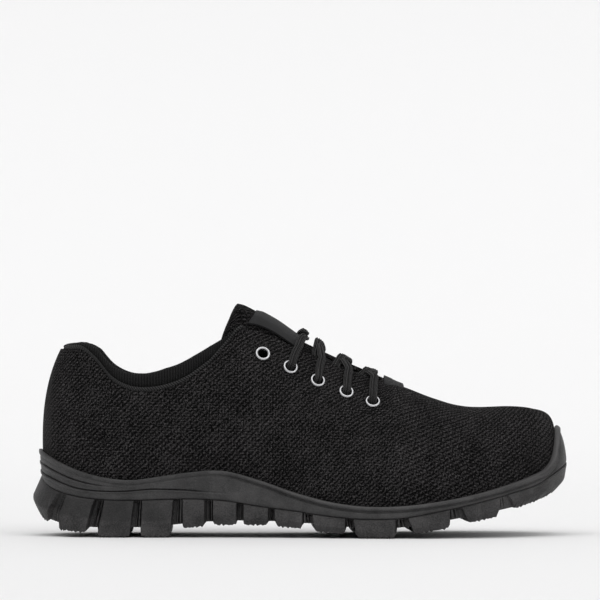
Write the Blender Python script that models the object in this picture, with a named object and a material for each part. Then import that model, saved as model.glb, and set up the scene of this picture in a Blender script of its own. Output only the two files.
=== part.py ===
"""Safety sneaker for the right foot, standing on its sole.

Metres, +Z up, toe towards +X, outer (lateral) side towards -Y.
The last's foot outline is walked from the heel to the toe on both sides.
"run" is the share of that walk, and every piece takes its columns from it.
"""
import math

import bmesh
import bpy
import numpy as np

# Driving sizes
SOLE_LENGTH = 0.298
BALL_WIDTH = 0.094
HEEL_OVERHANG = 0.007
TOE_OVERHANG = 0.007
SIDE_OVERHANG = 0.005
WING_HEIGHT = 0.0367
COLLAR_HEIGHT = 0.1038
WALL = 0.0025
GAP = 0.0003
TOE_GAP_GROWTH = 3.0

# Sole details
GROOVE_DEPTH = 0.0009
GROOVE_WIDTH = 0.0012
HEEL_STEP = 0.0008
SIDE_CURVE = 1.6
BEAD = 0.0012
NOTCH_WALL = 0.0012
LUG_DRAFT = 0.0008
EDGE_LUG_SHARE = 0.27
LUG_CHANNEL_SHARE = 0.07
CHANNEL_DRAFT_SHARE = 0.008

# Inside
INSOLE_THICKNESS = 0.004

# Collar
LINING_THICKNESS = 0.0055
LINING_RISE = 0.0035
LINING_ROWS = 2
LINING_TAPER_RUN = 0.07
LINING_TAPER_END = 0.3
PIPING_RADIUS = 0.0013

# Tongue and its label
TONGUE_THICKNESS = 0.0055
LABEL_THICKNESS = 0.0012
LABEL_HALF_ANGLE = 34.0
LABEL_START = 0.10
LABEL_END = 0.375

# Throat tab
TAB_LENGTH = 0.010
TAB_WIDTH = 0.009
TAB_THICKNESS = 0.0028

# Eyelets and lace
EYELET_RADIUS = 0.0042
EYELET_BORE = 0.0028
EYELET_RIM = 0.0009
BARREL_WALL = 0.0004
EYELET_SIDES = 9
LACE_WIDTH = 0.0048
LACE_THICKNESS = 0.0015
LACE_LIFT = 0.0006


class Table:
    """Rows of named columns, read between rows by a smooth curve."""

    def __init__(self, names, rows):
        values = np.array(rows, dtype=float)
        self.columns = dict(zip(names.split(), values.T))
        self.places = values[:, 0]

    def at(self, name, place):
        xs, ys = self.places, self.columns[name]
        slopes = np.gradient(ys, xs)
        i = np.clip(np.searchsorted(xs, place) - 1, 0, len(xs) - 2)
        span = xs[i + 1] - xs[i]
        t = (np.clip(place, xs[0], xs[-1]) - xs[i]) / span
        return (
            (2 * t**3 - 3 * t**2 + 1) * ys[i]
            + (t**3 - 2 * t**2 + t) * span * slopes[i]
            + (3 * t**2 - 2 * t**3) * ys[i + 1]
            + (t**3 - t**2) * span * slopes[i + 1]
        )


# Foot outline: shares of the last's length, and of the ball width
OUTLINE = Table(
    "along centre width",
    [
        (0.00, 0.000, 0.70),
        (0.10, 0.000, 0.70),
        (0.20, -0.005, 0.70),
        (0.30, -0.020, 0.69),
        (0.40, -0.040, 0.68),
        (0.50, -0.050, 0.74),
        (0.60, -0.045, 0.86),
        (0.70, -0.020, 0.97),
        (0.76, 0.000, 1.00),
        (0.84, 0.020, 0.97),
        (0.92, 0.045, 0.90),
        (1.00, 0.070, 0.82),
    ],
)
HEEL_ROUND = 0.135
HEEL_FULLNESS = 2.1
TOE_ROUND = 0.22
TOE_FULLNESS = 2.3

# Sole heights: shares of the wing height, from the floor
HEIGHTS = Table(
    "run feather parting seat recess bed",
    [
        (0.00, 1.310, 0.930, 0.570, 0.390, 0.765),
        (0.04, 1.250, 0.785, 0.480, 0.300, 0.755),
        (0.08, 1.125, 0.675, 0.385, 0.220, 0.745),
        (0.12, 0.992, 0.600, 0.340, 0.165, 0.738),
        (0.16, 0.899, 0.562, 0.327, 0.152, 0.730),
        (0.20, 0.861, 0.553, 0.327, 0.152, 0.725),
        (0.25, 0.910, 0.564, 0.327, 0.169, 0.719),
        (0.30, 0.975, 0.575, 0.341, 0.218, 0.708),
        (0.36, 1.000, 0.550, 0.354, 0.253, 0.681),
        (0.42, 0.864, 0.466, 0.343, 0.256, 0.627),
        (0.48, 0.678, 0.398, 0.311, 0.234, 0.545),
        (0.54, 0.540, 0.322, 0.262, 0.196, 0.452),
        (0.60, 0.474, 0.281, 0.223, 0.153, 0.387),
        (0.66, 0.485, 0.300, 0.234, 0.169, 0.381),
        (0.72, 0.550, 0.398, 0.327, 0.255, 0.431),
        (0.78, 0.654, 0.518, 0.431, 0.349, 0.518),
        (0.84, 0.790, 0.654, 0.540, 0.450, 0.627),
        (0.89, 0.916, 0.771, 0.632, 0.535, 0.708),
        (0.93, 1.040, 0.921, 0.725, 0.625, 0.800),
        (0.95, 1.170, 0.990, 0.765, 0.665, 0.845),
        (0.97, 1.420, 1.045, 0.800, 0.700, 0.885),
        (0.985, 1.590, 1.075, 0.825, 0.720, 0.915),
        (1.00, 1.650, 1.090, 0.850, 0.745, 0.940),
    ],
)

# Sole side: how far each edge stands out, in shares of the side overhang
SIDES = Table(
    "run rim core edge flare foot",
    [
        (0.00, 0.36, 0.15, 0.42, 1.38, 0.50),
        (0.06, 0.40, 0.10, 0.46, 1.20, 0.50),
        (0.12, 0.46, -0.35, 0.55, 0.85, 0.52),
        (0.24, 0.50, -0.40, 0.65, 0.78, 0.55),
        (0.36, 0.56, -0.40, 0.80, 0.92, 0.60),
        (0.50, 0.60, -0.40, 0.88, 1.00, 0.68),
        (0.64, 0.60, -0.35, 0.90, 1.00, 0.72),
        (0.72, 0.60, 0.00, 0.92, 1.02, 0.70),
        (0.78, 0.60, 0.30, 0.95, 1.05, 0.68),
        (0.88, 0.56, 0.40, 1.10, 1.18, 0.50),
        (0.94, 0.52, 0.45, 1.25, 1.22, 0.25),
        (1.00, 0.50, 0.50, 1.42, 1.15, 0.05),
    ],
)

# Lugs: runs where each starts and ends, its tread height at both ends, and its cells
LUGS = [
    (0.000, 0.080, 0.350, 0.135, 3),
    (0.094, 0.145, 0.088, 0.040, 2),
    (0.159, 0.210, 0.000, 0.000, 2),
    (0.222, 0.276, 0.000, 0.000, 2),
    (0.290, 0.330, 0.125, 0.160, 1),
    (0.341, 0.382, 0.177, 0.177, 1),
    (0.392, 0.436, 0.177, 0.177, 1),
    (0.445, 0.494, 0.160, 0.128, 2),
    (0.510, 0.566, 0.085, 0.054, 2),
    (0.578, 0.650, 0.000, 0.000, 3),
    (0.668, 0.737, 0.044, 0.144, 2),
    (0.755, 0.820, 0.200, 0.310, 2),
    (0.835, 1.000, 0.387, 0.750, 7),
]

# Steps that end the midsole's heel bands: place between the parting line and the feather line
HEEL_BANDS = Table(
    "run lower higher lower_depth higher_depth",
    [
        (0.00, 0.20, 0.56, 1.0, 1.0),
        (0.06, 0.33, 0.62, 1.0, 1.0),
        (0.12, 0.30, 0.59, 1.0, 1.0),
        (0.16, 0.36, 0.60, 1.0, 0.3),
        (0.18, 0.40, 0.62, 1.0, 0.0),
        (0.23, 0.47, 0.66, 1.0, 0.0),
        (0.28, 0.36, 0.62, 1.0, 0.0),
        (0.34, 0.24, 0.60, 0.3, 0.0),
        (0.37, 0.24, 0.60, 0.0, 0.0),
        (1.00, 0.24, 0.60, 0.0, 0.0),
    ],
)

# Top line of the upper: place along the last, centre and half width in shares of the ball
# width, height in shares of the collar height, and the section's angles and handles
TOP = Table(
    "run along centre half height inner_lift crown splay low high",
    [
        (0.000, 0.030, 0.000, 0.000, 1.000, 0.000, 20, 3, 0.35, 0.33),
        (0.040, 0.037, 0.000, 0.106, 1.000, 0.000, 19, 3, 0.35, 0.33),
        (0.080, 0.053, 0.000, 0.186, 0.999, 0.000, 17, 4, 0.35, 0.34),
        (0.120, 0.077, 0.000, 0.239, 0.992, 0.000, 14, 5, 0.35, 0.35),
        (0.155, 0.104, 0.000, 0.277, 0.932, 0.000, 11, 6, 0.35, 0.35),
        (0.190, 0.136, 0.000, 0.304, 0.832, 0.000, 9, 6, 0.35, 0.35),
        (0.225, 0.173, 0.000, 0.323, 0.782, 0.000, 8, 6, 0.35, 0.35),
        (0.265, 0.215, 0.000, 0.330, 0.789, 0.000, 9, 6, 0.35, 0.35),
        (0.305, 0.257, 0.000, 0.321, 0.833, 0.000, 11, 6, 0.34, 0.34),
        (0.340, 0.294, 0.000, 0.305, 0.901, 0.000, 14, 5, 0.33, 0.33),
        (0.375, 0.327, 0.002, 0.282, 0.968, 0.000, 19, 5, 0.31, 0.32),
        (0.408, 0.358, 0.006, 0.252, 1.040, 0.006, 26, 5, 0.30, 0.32),
        (0.436, 0.386, 0.010, 0.222, 1.106, 0.015, 33, 5, 0.30, 0.32),
        (0.458, 0.418, 0.012, 0.206, 1.092, 0.030, 38, 5, 0.30, 0.32),
        (0.482, 0.453, 0.012, 0.195, 1.056, 0.043, 42, 5, 0.30, 0.32),
        (0.510, 0.500, 0.012, 0.180, 0.995, 0.050, 46, 5, 0.30, 0.32),
        (0.540, 0.544, 0.012, 0.166, 0.938, 0.050, 50, 5, 0.30, 0.32),
        (0.570, 0.588, 0.012, 0.150, 0.888, 0.045, 54, 5, 0.30, 0.33),
        (0.600, 0.629, 0.011, 0.126, 0.850, 0.035, 60, 5, 0.31, 0.34),
        (0.620, 0.653, 0.010, 0.100, 0.832, 0.025, 68, 5, 0.32, 0.36),
        (0.636, 0.672, 0.006, 0.058, 0.821, 0.012, 80, 5, 0.33, 0.38),
        (0.650, 0.680, 0.004, 0.000, 0.817, 0.000, 90, 5, 0.35, 0.40),
        (0.690, 0.711, 0.004, 0.000, 0.788, 0.000, 90, 5, 0.38, 0.41),
        (0.730, 0.752, 0.010, 0.000, 0.744, 0.000, 90, 5, 0.42, 0.42),
        (0.770, 0.792, 0.018, 0.000, 0.708, 0.000, 90, 4, 0.46, 0.43),
        (0.810, 0.824, 0.026, 0.000, 0.691, 0.000, 90, 4, 0.50, 0.44),
        (0.850, 0.852, 0.034, 0.000, 0.687, 0.000, 90, 4, 0.56, 0.46),
        (0.890, 0.876, 0.040, 0.000, 0.689, 0.000, 90, 4, 0.64, 0.48),
        (0.930, 0.895, 0.044, 0.000, 0.691, 0.000, 90, 3, 0.72, 0.50),
        (0.965, 0.908, 0.047, 0.000, 0.691, 0.000, 90, 3, 0.78, 0.50),
        (1.000, 0.917, 0.050, 0.000, 0.689, 0.000, 90, 3, 0.80, 0.50),
    ],
)
COLLAR_FRONT_RUN = 0.436
THROAT_BASE_RUN = 0.650

# Tongue centreline: places and heights in shares of the last's length and the collar height,
# with the arch's radius in shares of the ball width, its half angle in degrees, and how far
# its wings hang beyond the arch in shares of the collar height
TONGUE = Table(
    "share along height radius angle swell wing",
    [
        (0.00, 0.379, 1.243, 0.190, 48, 0.70, 0.130),
        (0.04, 0.389, 1.236, 0.192, 50, 1.15, 0.130),
        (0.12, 0.4155, 1.200, 0.195, 56, 1.30, 0.115),
        (0.26, 0.458, 1.135, 0.200, 64, 1.15, 0.080),
        (0.40, 0.5035, 1.040, 0.203, 66, 0.95, 0.055),
        (0.50, 0.535, 0.978, 0.205, 68, 0.80, 0.045),
        (0.62, 0.570, 0.924, 0.205, 64, 0.70, 0.035),
        (0.74, 0.6056, 0.877, 0.205, 60, 0.65, 0.025),
        (0.84, 0.641, 0.829, 0.210, 54, 0.60, 0.012),
        (0.93, 0.676, 0.782, 0.220, 48, 0.55, 0.000),
        (1.00, 0.711, 0.736, 0.240, 42, 0.50, 0.000),
    ],
)
TONGUE_CENTRE = 0.014
WING_ANGLE = 34.0
WING_CURVE = 1.5

# Eyelets, from the top of the throat down: run of the column, and how far below the edge
EYELETS = [
    (0.465, 0.0135),
    (0.502, 0.0160),
    (0.538, 0.0160),
    (0.575, 0.0165),
    (0.614, 0.0180),
]

# Lace crossings: eyelet, run where a strap comes over the throat's edge, run of the far edge
# where it ends, and the share of the way that it goes
CROSSINGS = [
    (2, 0.507, 0.527, 0.63),
    (3, 0.552, 0.532, 1.00),
    (4, 0.574, 0.557, 1.00),
    (5, 0.612, 0.592, 1.00),
]

LAST_LENGTH = SOLE_LENGTH - HEEL_OVERHANG - TOE_OVERHANG
HEEL_X = -SOLE_LENGTH / 2 + HEEL_OVERHANG


def clear_scene():
    for thing in list(bpy.data.objects):
        bpy.data.objects.remove(thing, do_unlink=True)


def material(name, colour, roughness, metallic=0.0):
    made = bpy.data.materials.new(name)
    made.use_nodes = True
    shader = made.node_tree.nodes["Principled BSDF"]
    shader.inputs["Base Color"].default_value = (*colour, 1.0)
    shader.inputs["Roughness"].default_value = roughness
    shader.inputs["Metallic"].default_value = metallic
    made.diffuse_color = (*colour, 1.0)
    return made


def add_object(name, bm, finish, sharp_degrees=40.0):
    """Closes the mesh's doubles, turns its faces outwards and shades it smooth."""
    bmesh.ops.recalc_face_normals(bm, faces=bm.faces)
    mesh = bpy.data.meshes.new(name)
    bm.to_mesh(mesh)
    bm.free()
    mesh.materials.append(finish)
    mesh.shade_smooth()
    mesh.set_sharp_from_angle(angle=math.radians(sharp_degrees))
    thing = bpy.data.objects.new(name, mesh)
    bpy.context.scene.collection.objects.link(thing)
    return thing


def add_ring(bm, points):
    return [bm.verts.new(tuple(point)) for point in points]


def add_faces_between(bm, lower, upper, closed=True):
    """Faces between two rows of corners; rows may share corners."""
    count = len(lower)
    made = []
    for i in range(count if closed else count - 1):
        k = (i + 1) % count
        corners = []
        for corner in (lower[i], lower[k], upper[k], upper[i]):
            if corner not in corners:
                corners.append(corner)
        if len(corners) > 2:
            made.append(bm.faces.new(corners))
    return made


def solid_from_rows(name, rows, finish, closed=True, sharp_degrees=40.0):
    """A tube-like solid: each row is a closed section, and both ends are capped."""
    bm = bmesh.new()
    rings = [add_ring(bm, row) for row in rows]
    for low, high in zip(rings, rings[1:]):
        add_faces_between(bm, low, high, closed)
    bm.faces.new(rings[0])
    bm.faces.new(rings[-1])
    return add_object(name, bm, finish, sharp_degrees)


# Foot outline, walked in small steps


def walk_outline(side, steps=2400):
    along = (1 - np.cos(np.linspace(0, math.pi, steps))) / 2
    ends = np.ones_like(along)
    for distance, reach, fullness in (
        (along, HEEL_ROUND, HEEL_FULLNESS),
        (1 - along, TOE_ROUND, TOE_FULLNESS),
    ):
        near = distance < reach
        ends[near] *= (1 - (1 - distance[near] / reach) ** fullness) ** (1 / fullness)
    centre = np.array([OUTLINE.at("centre", a) for a in along]) * BALL_WIDTH
    half = np.array([OUTLINE.at("width", a) for a in along]) * BALL_WIDTH / 2
    xs = HEEL_X + along * LAST_LENGTH
    ys = centre + side * half * ends
    walked = np.concatenate([[0], np.cumsum(np.hypot(np.diff(xs), np.diff(ys)))])
    return walked / walked[-1], xs, ys


def list_runs():
    """The runs of the columns: the lugs' ends and the cells inside them."""
    runs = []
    for start, end, _, _, cells in LUGS:
        runs += list(np.linspace(start, end, cells + 1))
    return runs


WALKS = {side: walk_outline(side) for side in (-1, 1)}
RUNS = list_runs()
LAST = len(RUNS) - 1
COLUMNS = [(i, -1) for i in range(LAST + 1)] + [(i, 1) for i in range(LAST - 1, 0, -1)]
UP = np.array([0.0, 0.0, 1.0])


def unit(vector):
    return vector / np.linalg.norm(vector)


def outline_point(run, side):
    runs, xs, ys = WALKS[side]
    return np.array([np.interp(run, runs, xs), np.interp(run, runs, ys), 0.0])


def outward(run, side):
    """The level direction out of the foot outline."""
    if run < 0.002:
        return np.array([-1.0, 0.0, 0.0])
    if run > 0.998:
        return np.array([1.0, 0.0, 0.0])
    reach = 0.004
    along = outline_point(min(run + reach, 1), side) - outline_point(max(run - reach, 0), side)
    return unit(np.array([-side * along[1], side * along[0], 0.0]) * np.array([1, 1, 0]))


def height(name, run):
    return WING_HEIGHT * HEIGHTS.at(name, run)


def reach_out(name, run):
    return SIDE_OVERHANG * SIDES.at(name, run)


# The upper's form

UPPER_CELLS = 6


def top_point(run, side):
    return np.array(
        [
            HEEL_X + LAST_LENGTH * TOP.at("along", run),
            BALL_WIDTH * (TOP.at("centre", run) + side * max(TOP.at("half", run), 0)),
            COLLAR_HEIGHT * (TOP.at("height", run) + max(side, 0) * TOP.at("inner_lift", run)),
        ]
    )


def upper_section(run, side):
    """Points of one section of the upper's outside, from the footbed to the top line."""
    out = outward(run, side)
    foot = outline_point(run, side) + UP * (height("bed", run) + GAP)
    top = top_point(run, side)
    if run >= THROAT_BASE_RUN:
        top[1] = BALL_WIDTH * TOP.at("centre", run)
    chord = np.linalg.norm(top - foot)
    splay = math.radians(TOP.at("splay", run))
    crown = math.radians(TOP.at("crown", run))
    fall = -UP * math.cos(crown)
    if run >= THROAT_BASE_RUN:
        ahead = top_point(min(run + 0.01, 1), side) - top_point(run - 0.01, side)
        fall = UP * out[0] * ahead[2] / ahead[0]
    low = foot + TOP.at("low", run) * chord * (UP * math.cos(splay) + out * math.sin(splay))
    high = top + TOP.at("high", run) * chord * (out * math.sin(crown) + fall)
    points = []
    for t in np.linspace(0, 1, UPPER_CELLS + 1):
        s = 1 - t
        points.append(s**3 * foot + 3 * s * s * t * low + 3 * s * t * t * high + t**3 * top)
    return points


def upper_normals(skin):
    """Directions out of the skin, by the change along its columns and rows."""
    round_way = np.roll(skin, -1, axis=0) - np.roll(skin, 1, axis=0)
    for c, (i, side) in enumerate(COLUMNS):
        if RUNS[i] >= THROAT_BASE_RUN - 1e-6:
            ahead = top_point(min(RUNS[i] + 0.01, 1), side) - top_point(RUNS[i] - 0.01, side)
            round_way[c, -1] = ahead * -side
    up_way = np.gradient(skin, axis=1)
    normals = np.cross(up_way, round_way)
    for c, (i, side) in enumerate(COLUMNS):
        for row in range(skin.shape[1]):
            if normals[c, row] @ outward(RUNS[i], side) < 0 and row < UPPER_CELLS - 1:
                normals[c, row] *= -1
            if row >= UPPER_CELLS - 1 and normals[c, row] @ normals[c, row - 1] < 0:
                normals[c, row] *= -1
    normals /= np.linalg.norm(normals, axis=2)[:, :, None]
    for c, (i, side) in enumerate(COLUMNS):
        if RUNS[i] >= THROAT_BASE_RUN - 1e-6:
            twin = (2 * LAST - c) % len(COLUMNS)
            both = unit(normals[c, -1] + normals[twin, -1]) if c != LAST else normals[c - 1, -1]
            normals[c, -1] = both
            normals[twin, -1] = both
    return normals


SKIN = np.array([upper_section(RUNS[i], side) for i, side in COLUMNS])
NORMALS = upper_normals(SKIN)


def skin_at(column, row):
    """Point and outward direction at a part column and part row of the skin."""
    c0, r0 = int(math.floor(column)), min(int(math.floor(row)), UPPER_CELLS - 1)
    a, b = column - c0, row - r0
    total = len(COLUMNS)
    found = []
    for grid in (SKIN, NORMALS):
        near = grid[c0 % total, r0] * (1 - b) + grid[c0 % total, r0 + 1] * b
        far = grid[(c0 + 1) % total, r0] * (1 - b) + grid[(c0 + 1) % total, r0 + 1] * b
        found.append(near * (1 - a) + far * a)
    return found[0], unit(found[1])


def column_at(run, side):
    place = np.interp(run, RUNS, range(LAST + 1))
    return place if side < 0 else 2 * LAST - place


def row_at_height(column, level):
    heights = SKIN[column, :, 2]
    return float(np.interp(level, heights, range(UPPER_CELLS + 1)))


def row_below_top(column, inset):
    """The part row that lies a distance down the skin from its top line."""
    points = [skin_at(column, row)[0] for row in range(UPPER_CELLS + 1)]
    left = inset
    for row in range(UPPER_CELLS, 0, -1):
        step = np.linalg.norm(points[row] - points[row - 1])
        if left <= step:
            return row - left / step
        left -= step
    return 0.0


def make_upper(finish):
    bm = bmesh.new()
    inner = SKIN - NORMALS * WALL
    inner[:, 0, 2] = SKIN[:, 0, 2]
    layers = []
    for grid in (SKIN, inner):
        rings = [add_ring(bm, grid[:, row]) for row in range(UPPER_CELLS + 1)]
        for c, (i, side) in enumerate(COLUMNS):
            if side > 0 and RUNS[i] >= THROAT_BASE_RUN - 1e-6:
                twin = rings[-1][2 * LAST - c]
                bm.verts.remove(rings[-1][c])
                rings[-1][c] = twin
        for low, high in zip(rings, rings[1:]):
            add_faces_between(bm, low, high)
        layers.append(rings)
    outside, inside = layers
    add_faces_between(bm, outside[0], inside[0])
    count = len(COLUMNS)
    for c in range(count):
        k = (c + 1) % count
        over_vamp = min(RUNS[COLUMNS[c][0]], RUNS[COLUMNS[k][0]]) >= THROAT_BASE_RUN - 1e-6
        if not over_vamp:
            bm.faces.new((outside[-1][c], outside[-1][k], inside[-1][k], inside[-1][c]))
    return add_object("upper", bm, finish)


# The sole


def ring_out(reach, level):
    """A ring round the foot outline; reach and level are functions of the run."""
    points = []
    for i, side in COLUMNS:
        run = RUNS[i]
        points.append(outline_point(run, side) + outward(run, side) * reach(run) + UP * level(run))
    return points


def ring_on_skin(share, stand_off, lift=0.0, level_way=False):
    """A ring on the upper's outside, a share of the way from the footbed to the feather line."""
    points = []
    for c, (i, side) in enumerate(COLUMNS):
        run = RUNS[i]
        level = height("bed", run) + share * (height("feather", run) - height("bed", run))
        point, normal = skin_at(c, row_at_height(c, level))
        way = unit(normal * [1, 1, 0]) if level_way else normal
        points.append(point + way * stand_off(run) + UP * lift)
    return points


def add_ladder(bm, ring, shares=(0.33, 0.67)):
    """A sheet across the shoe that closes a ring, rung by rung. Gives its faces by cell."""
    rungs = []
    for i in range(LAST + 1):
        lateral, medial = ring[i], ring[(2 * LAST - i) % len(COLUMNS)]
        if lateral is medial:
            rungs.append([lateral])
            continue
        middle = [bm.verts.new(lateral.co.lerp(medial.co, share)) for share in shares]
        rungs.append([lateral, *middle, medial])
    cells = {}
    for i in range(LAST):
        here, there = rungs[i], rungs[i + 1]
        for j in range(len(shares) + 1):
            corners = []
            for rung, k in ((here, j), (here, j + 1), (there, j + 1), (there, j)):
                corner = rung[min(k, len(rung) - 1)]
                if corner not in corners:
                    corners.append(corner)
            cells[i, j] = bm.faces.new(corners)
    return cells


def groove_fade(run):
    """The line between midsole and outsole closes up towards the toe."""
    return 1.0 - np.clip((run - 0.90) / 0.06, 0, 1)


def make_midsole(finish):
    bm = bmesh.new()

    def side_ring(share, stand_out):
        """A ring on the midsole's side; share and stand_out are functions of the run."""
        points = []
        for c, (i, side) in enumerate(COLUMNS):
            run = RUNS[i]
            part = share(run)
            low = height("parting", run)
            z = low + (height("feather", run) - low) * part
            out = outward(run, side)
            base = outline_point(run, side)
            skin = skin_at(c, row_at_height(c, max(z, height("bed", run))))[0]
            bulge = max((skin - base) @ out, 0) * part
            leaned = part**SIDE_CURVE
            reach = reach_out("edge", run) * (1 - leaned) + reach_out("rim", run) * leaned
            points.append(base + out * (bulge + reach + stand_out(run)) + UP * z)
        return points

    def band_rings(name):
        """Two rings that make a small step in the side at the top of a heel band."""

        def depth(run):
            return HEEL_STEP * max(HEEL_BANDS.at(name + "_depth", run), 0)

        return [
            side_ring(lambda run: HEEL_BANDS.at(name, run), depth),
            side_ring(lambda run: HEEL_BANDS.at(name, run) + 0.04, lambda run: -0.5 * depth(run)),
        ]

    parting = [
        ring_out(lambda run: reach_out("core", run), lambda run: height("seat", run)),
        ring_out(lambda run: reach_out("core", run), lambda run: height("parting", run) + GAP),
        ring_out(
            lambda run: reach_out("edge", run) - GROOVE_DEPTH * groove_fade(run),
            lambda run: height("parting", run) + GAP,
        ),
    ]
    side = [
        side_ring(lambda run: 0.10, lambda run: 0.0),
        *band_rings("lower"),
        *band_rings("higher"),
        side_ring(lambda run: 0.94, lambda run: BEAD * 0.5),
    ]

    def skin_gap(run):
        """The toe's tight bend needs a wider gap, as both faces are made of flats."""
        return GAP * (1 + TOE_GAP_GROWTH * np.clip((run - 0.84) / 0.08, 0, 1))

    inside = [
        ring_on_skin(1.0, lambda run: reach_out("rim", run) * 0.75, BEAD * 0.5, True),
        *[ring_on_skin(share, skin_gap) for share in (1.0, 0.67, 0.33)],
        ring_on_skin(0.0, skin_gap, -GAP, True),
    ]
    rings = [add_ring(bm, points) for points in parting + side + inside]
    for low, high in zip(rings, rings[1:]):
        add_faces_between(bm, low, high)
    add_ladder(bm, rings[0])
    add_ladder(bm, rings[-1])
    return add_object("midsole", bm, finish)


def make_outsole(finish):
    bm = bmesh.new()
    rings = [
        ring_out(
            lambda run: reach_out("core", run) + GAP,
            lambda run: height("seat", run) - GAP,
        ),
        ring_out(lambda run: reach_out("core", run) + GAP, lambda run: height("parting", run)),
        ring_out(
            lambda run: reach_out("edge", run) - GROOVE_DEPTH * groove_fade(run),
            lambda run: height("parting", run),
        ),
        ring_out(
            lambda run: reach_out("edge", run),
            lambda run: height("parting", run) - GROOVE_WIDTH,
        ),
    ]
    rings = [add_ring(bm, points) for points in rings]
    for low, high in zip(rings, rings[1:]):
        add_faces_between(bm, low, high)
    add_ladder(bm, rings[0])
    add_tread(bm, rings[-1])
    return add_object("outsole", bm, finish, 30.0)


def notch_reach(run):
    """A notch between two lugs leaves a thin wall outside the midsole."""
    return reach_out("core", run) + GAP + NOTCH_WALL


def lug_at(i):
    """The number of the lug that a cell belongs to, or None between two lugs."""
    for number, (start, end, *_) in enumerate(LUGS):
        if start - 1e-6 <= RUNS[i] and RUNS[i + 1] <= end + 1e-6:
            return number
    return None


def add_tread(bm, lip):
    """Lugs and the notches between them, from the lip under the parting line down."""
    edge, channel, draft = EDGE_LUG_SHARE, LUG_CHANNEL_SHARE, CHANNEL_DRAFT_SHARE
    lanes = np.array([0, edge, edge + channel, 1 - edge - channel, 1 - edge, 1])
    drawn = lanes + np.array([0, -draft, draft, -draft, draft, 0])
    flare_share = 0.42
    made = {}

    def is_lug(i, lane):
        number = lug_at(i)
        return number is not None and (number in (0, len(LUGS) - 1) or lane % 2 == 0)

    def tread_height(i):
        run = RUNS[i]
        for start, end, rear, front, _ in LUGS:
            if start - 1e-6 <= run <= end + 1e-6:
                share = (run - start) / (end - start)
                lean = float(share < 0.01 and start > 0) - float(share > 0.99 and end < 1)
                return WING_HEIGHT * (rear * (1 - share) + front * share), LUG_DRAFT * lean
        raise ValueError(f"no lug at {run}")

    def column(i, lane):
        return i if lane == 0 else (2 * LAST - i) % len(COLUMNS)

    def side_place(i, lane, reach, level):
        run, side = RUNS[i], -1 if lane == 0 else 1
        return outline_point(run, side) + outward(run, side) * reach + UP * level

    def corner(i, lane, lugged):
        """A corner of the bottom, on the tread or in a notch."""
        if i in (0, LAST):
            lane = 0
        key = (i, lane, lugged)
        if key not in made:
            run = RUNS[i]
            reach = reach_out("foot", run)
            level, lean = tread_height(i) if lugged else (height("recess", run), 0.0)
            if not lugged and lane in (0, 5):
                reach = notch_reach(run)
            if lane in (0, 5):
                place = side_place(i, lane, reach, level)
            else:
                share = (drawn if lugged else lanes)[lane]
                near, far = side_place(i, 0, reach, level), side_place(i, 5, reach, level)
                place = near * (1 - share) + far * share
            made[key] = bm.verts.new(tuple(place + np.array([lean, 0, 0])))
        return made[key]

    def side_corner(i, lane, lugged):
        """A corner of the side: the lug's widest place, or the notch's top."""
        key = (i, 0 if i in (0, LAST) else lane, lugged, "side")
        if key not in made:
            run = RUNS[i]
            if lugged:
                low, high = height("recess", run), height("parting", run)
                level = low * (1 - flare_share) + high * flare_share
                place = side_place(i, lane, reach_out("flare", run), level)
            else:
                level = height("parting", run) - GROOVE_WIDTH * 1.5
                place = side_place(i, lane, notch_reach(run), level)
            made[key] = bm.verts.new(tuple(place))
        return made[key]

    def face(corners):
        kept = []
        for each in corners:
            if each not in kept:
                kept.append(each)
        if len(kept) > 2:
            bm.faces.new(kept)

    for i in range(LAST):
        for lane in range(5):
            kind = is_lug(i, lane)
            face(
                [
                    corner(i, lane, kind),
                    corner(i, lane + 1, kind),
                    corner(i + 1, lane + 1, kind),
                    corner(i + 1, lane, kind),
                ]
            )
            if lane and is_lug(i, lane - 1) != kind:
                face([corner(k, lane, level) for k, level in ((i, 1), (i + 1, 1), (i + 1, 0), (i, 0))])
            if i and is_lug(i - 1, lane) != kind:
                face(end_wall(i, lane, corner, side_corner, lip[column(i, 0 if lane == 0 else 5)]))
        for lane in (0, 5):
            kind = is_lug(i, min(lane, 4))
            lips = (lip[column(i, lane)], lip[column(i + 1, lane)])
            sides = (side_corner(i, lane, kind), side_corner(i + 1, lane, kind))
            feet = (corner(i, lane, kind), corner(i + 1, lane, kind))
            face([lips[0], lips[1], sides[1], sides[0]])
            face([sides[0], sides[1], feet[1], feet[0]])


def end_wall(i, lane, corner, side_corner, lip_corner):
    """The corners of a lug's end wall in one lane; the outer lanes reach up to the lip."""
    wall = [corner(i, lane, 1), corner(i, lane + 1, 1), corner(i, lane + 1, 0), corner(i, lane, 0)]
    if lane == 0:
        wall += [side_corner(i, 0, 0), lip_corner, side_corner(i, 0, 1)]
    if lane == 4:
        reach = [side_corner(i, 5, 1), lip_corner, side_corner(i, 5, 0)]
        wall = wall[:2] + reach + wall[2:]
    return wall


def make_insole(finish):
    bm = bmesh.new()
    inset = WALL + GAP

    def bottom(run):
        return height("bed", run) + GAP

    rings = [
        add_ring(bm, ring_out(lambda run: -inset - GAP, bottom)),
        add_ring(bm, ring_out(lambda run: -inset - GAP, lambda run: bottom(run) + INSOLE_THICKNESS)),
    ]
    add_faces_between(bm, *rings)
    add_ladder(bm, rings[0], (0.5,))
    add_ladder(bm, rings[1], (0.5,))
    return add_object("insole", bm, finish)


# Collar


def collar_columns():
    """Columns from the front of the collar's outer side, round the heel, to the inner side."""
    reach = [c for c, (i, side) in enumerate(COLUMNS) if RUNS[i] <= COLLAR_FRONT_RUN]
    lateral = [c for c in reach if COLUMNS[c][1] < 0]
    medial = [c for c in reach if COLUMNS[c][1] > 0]
    return list(reversed(lateral)) + list(reversed(medial))


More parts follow.
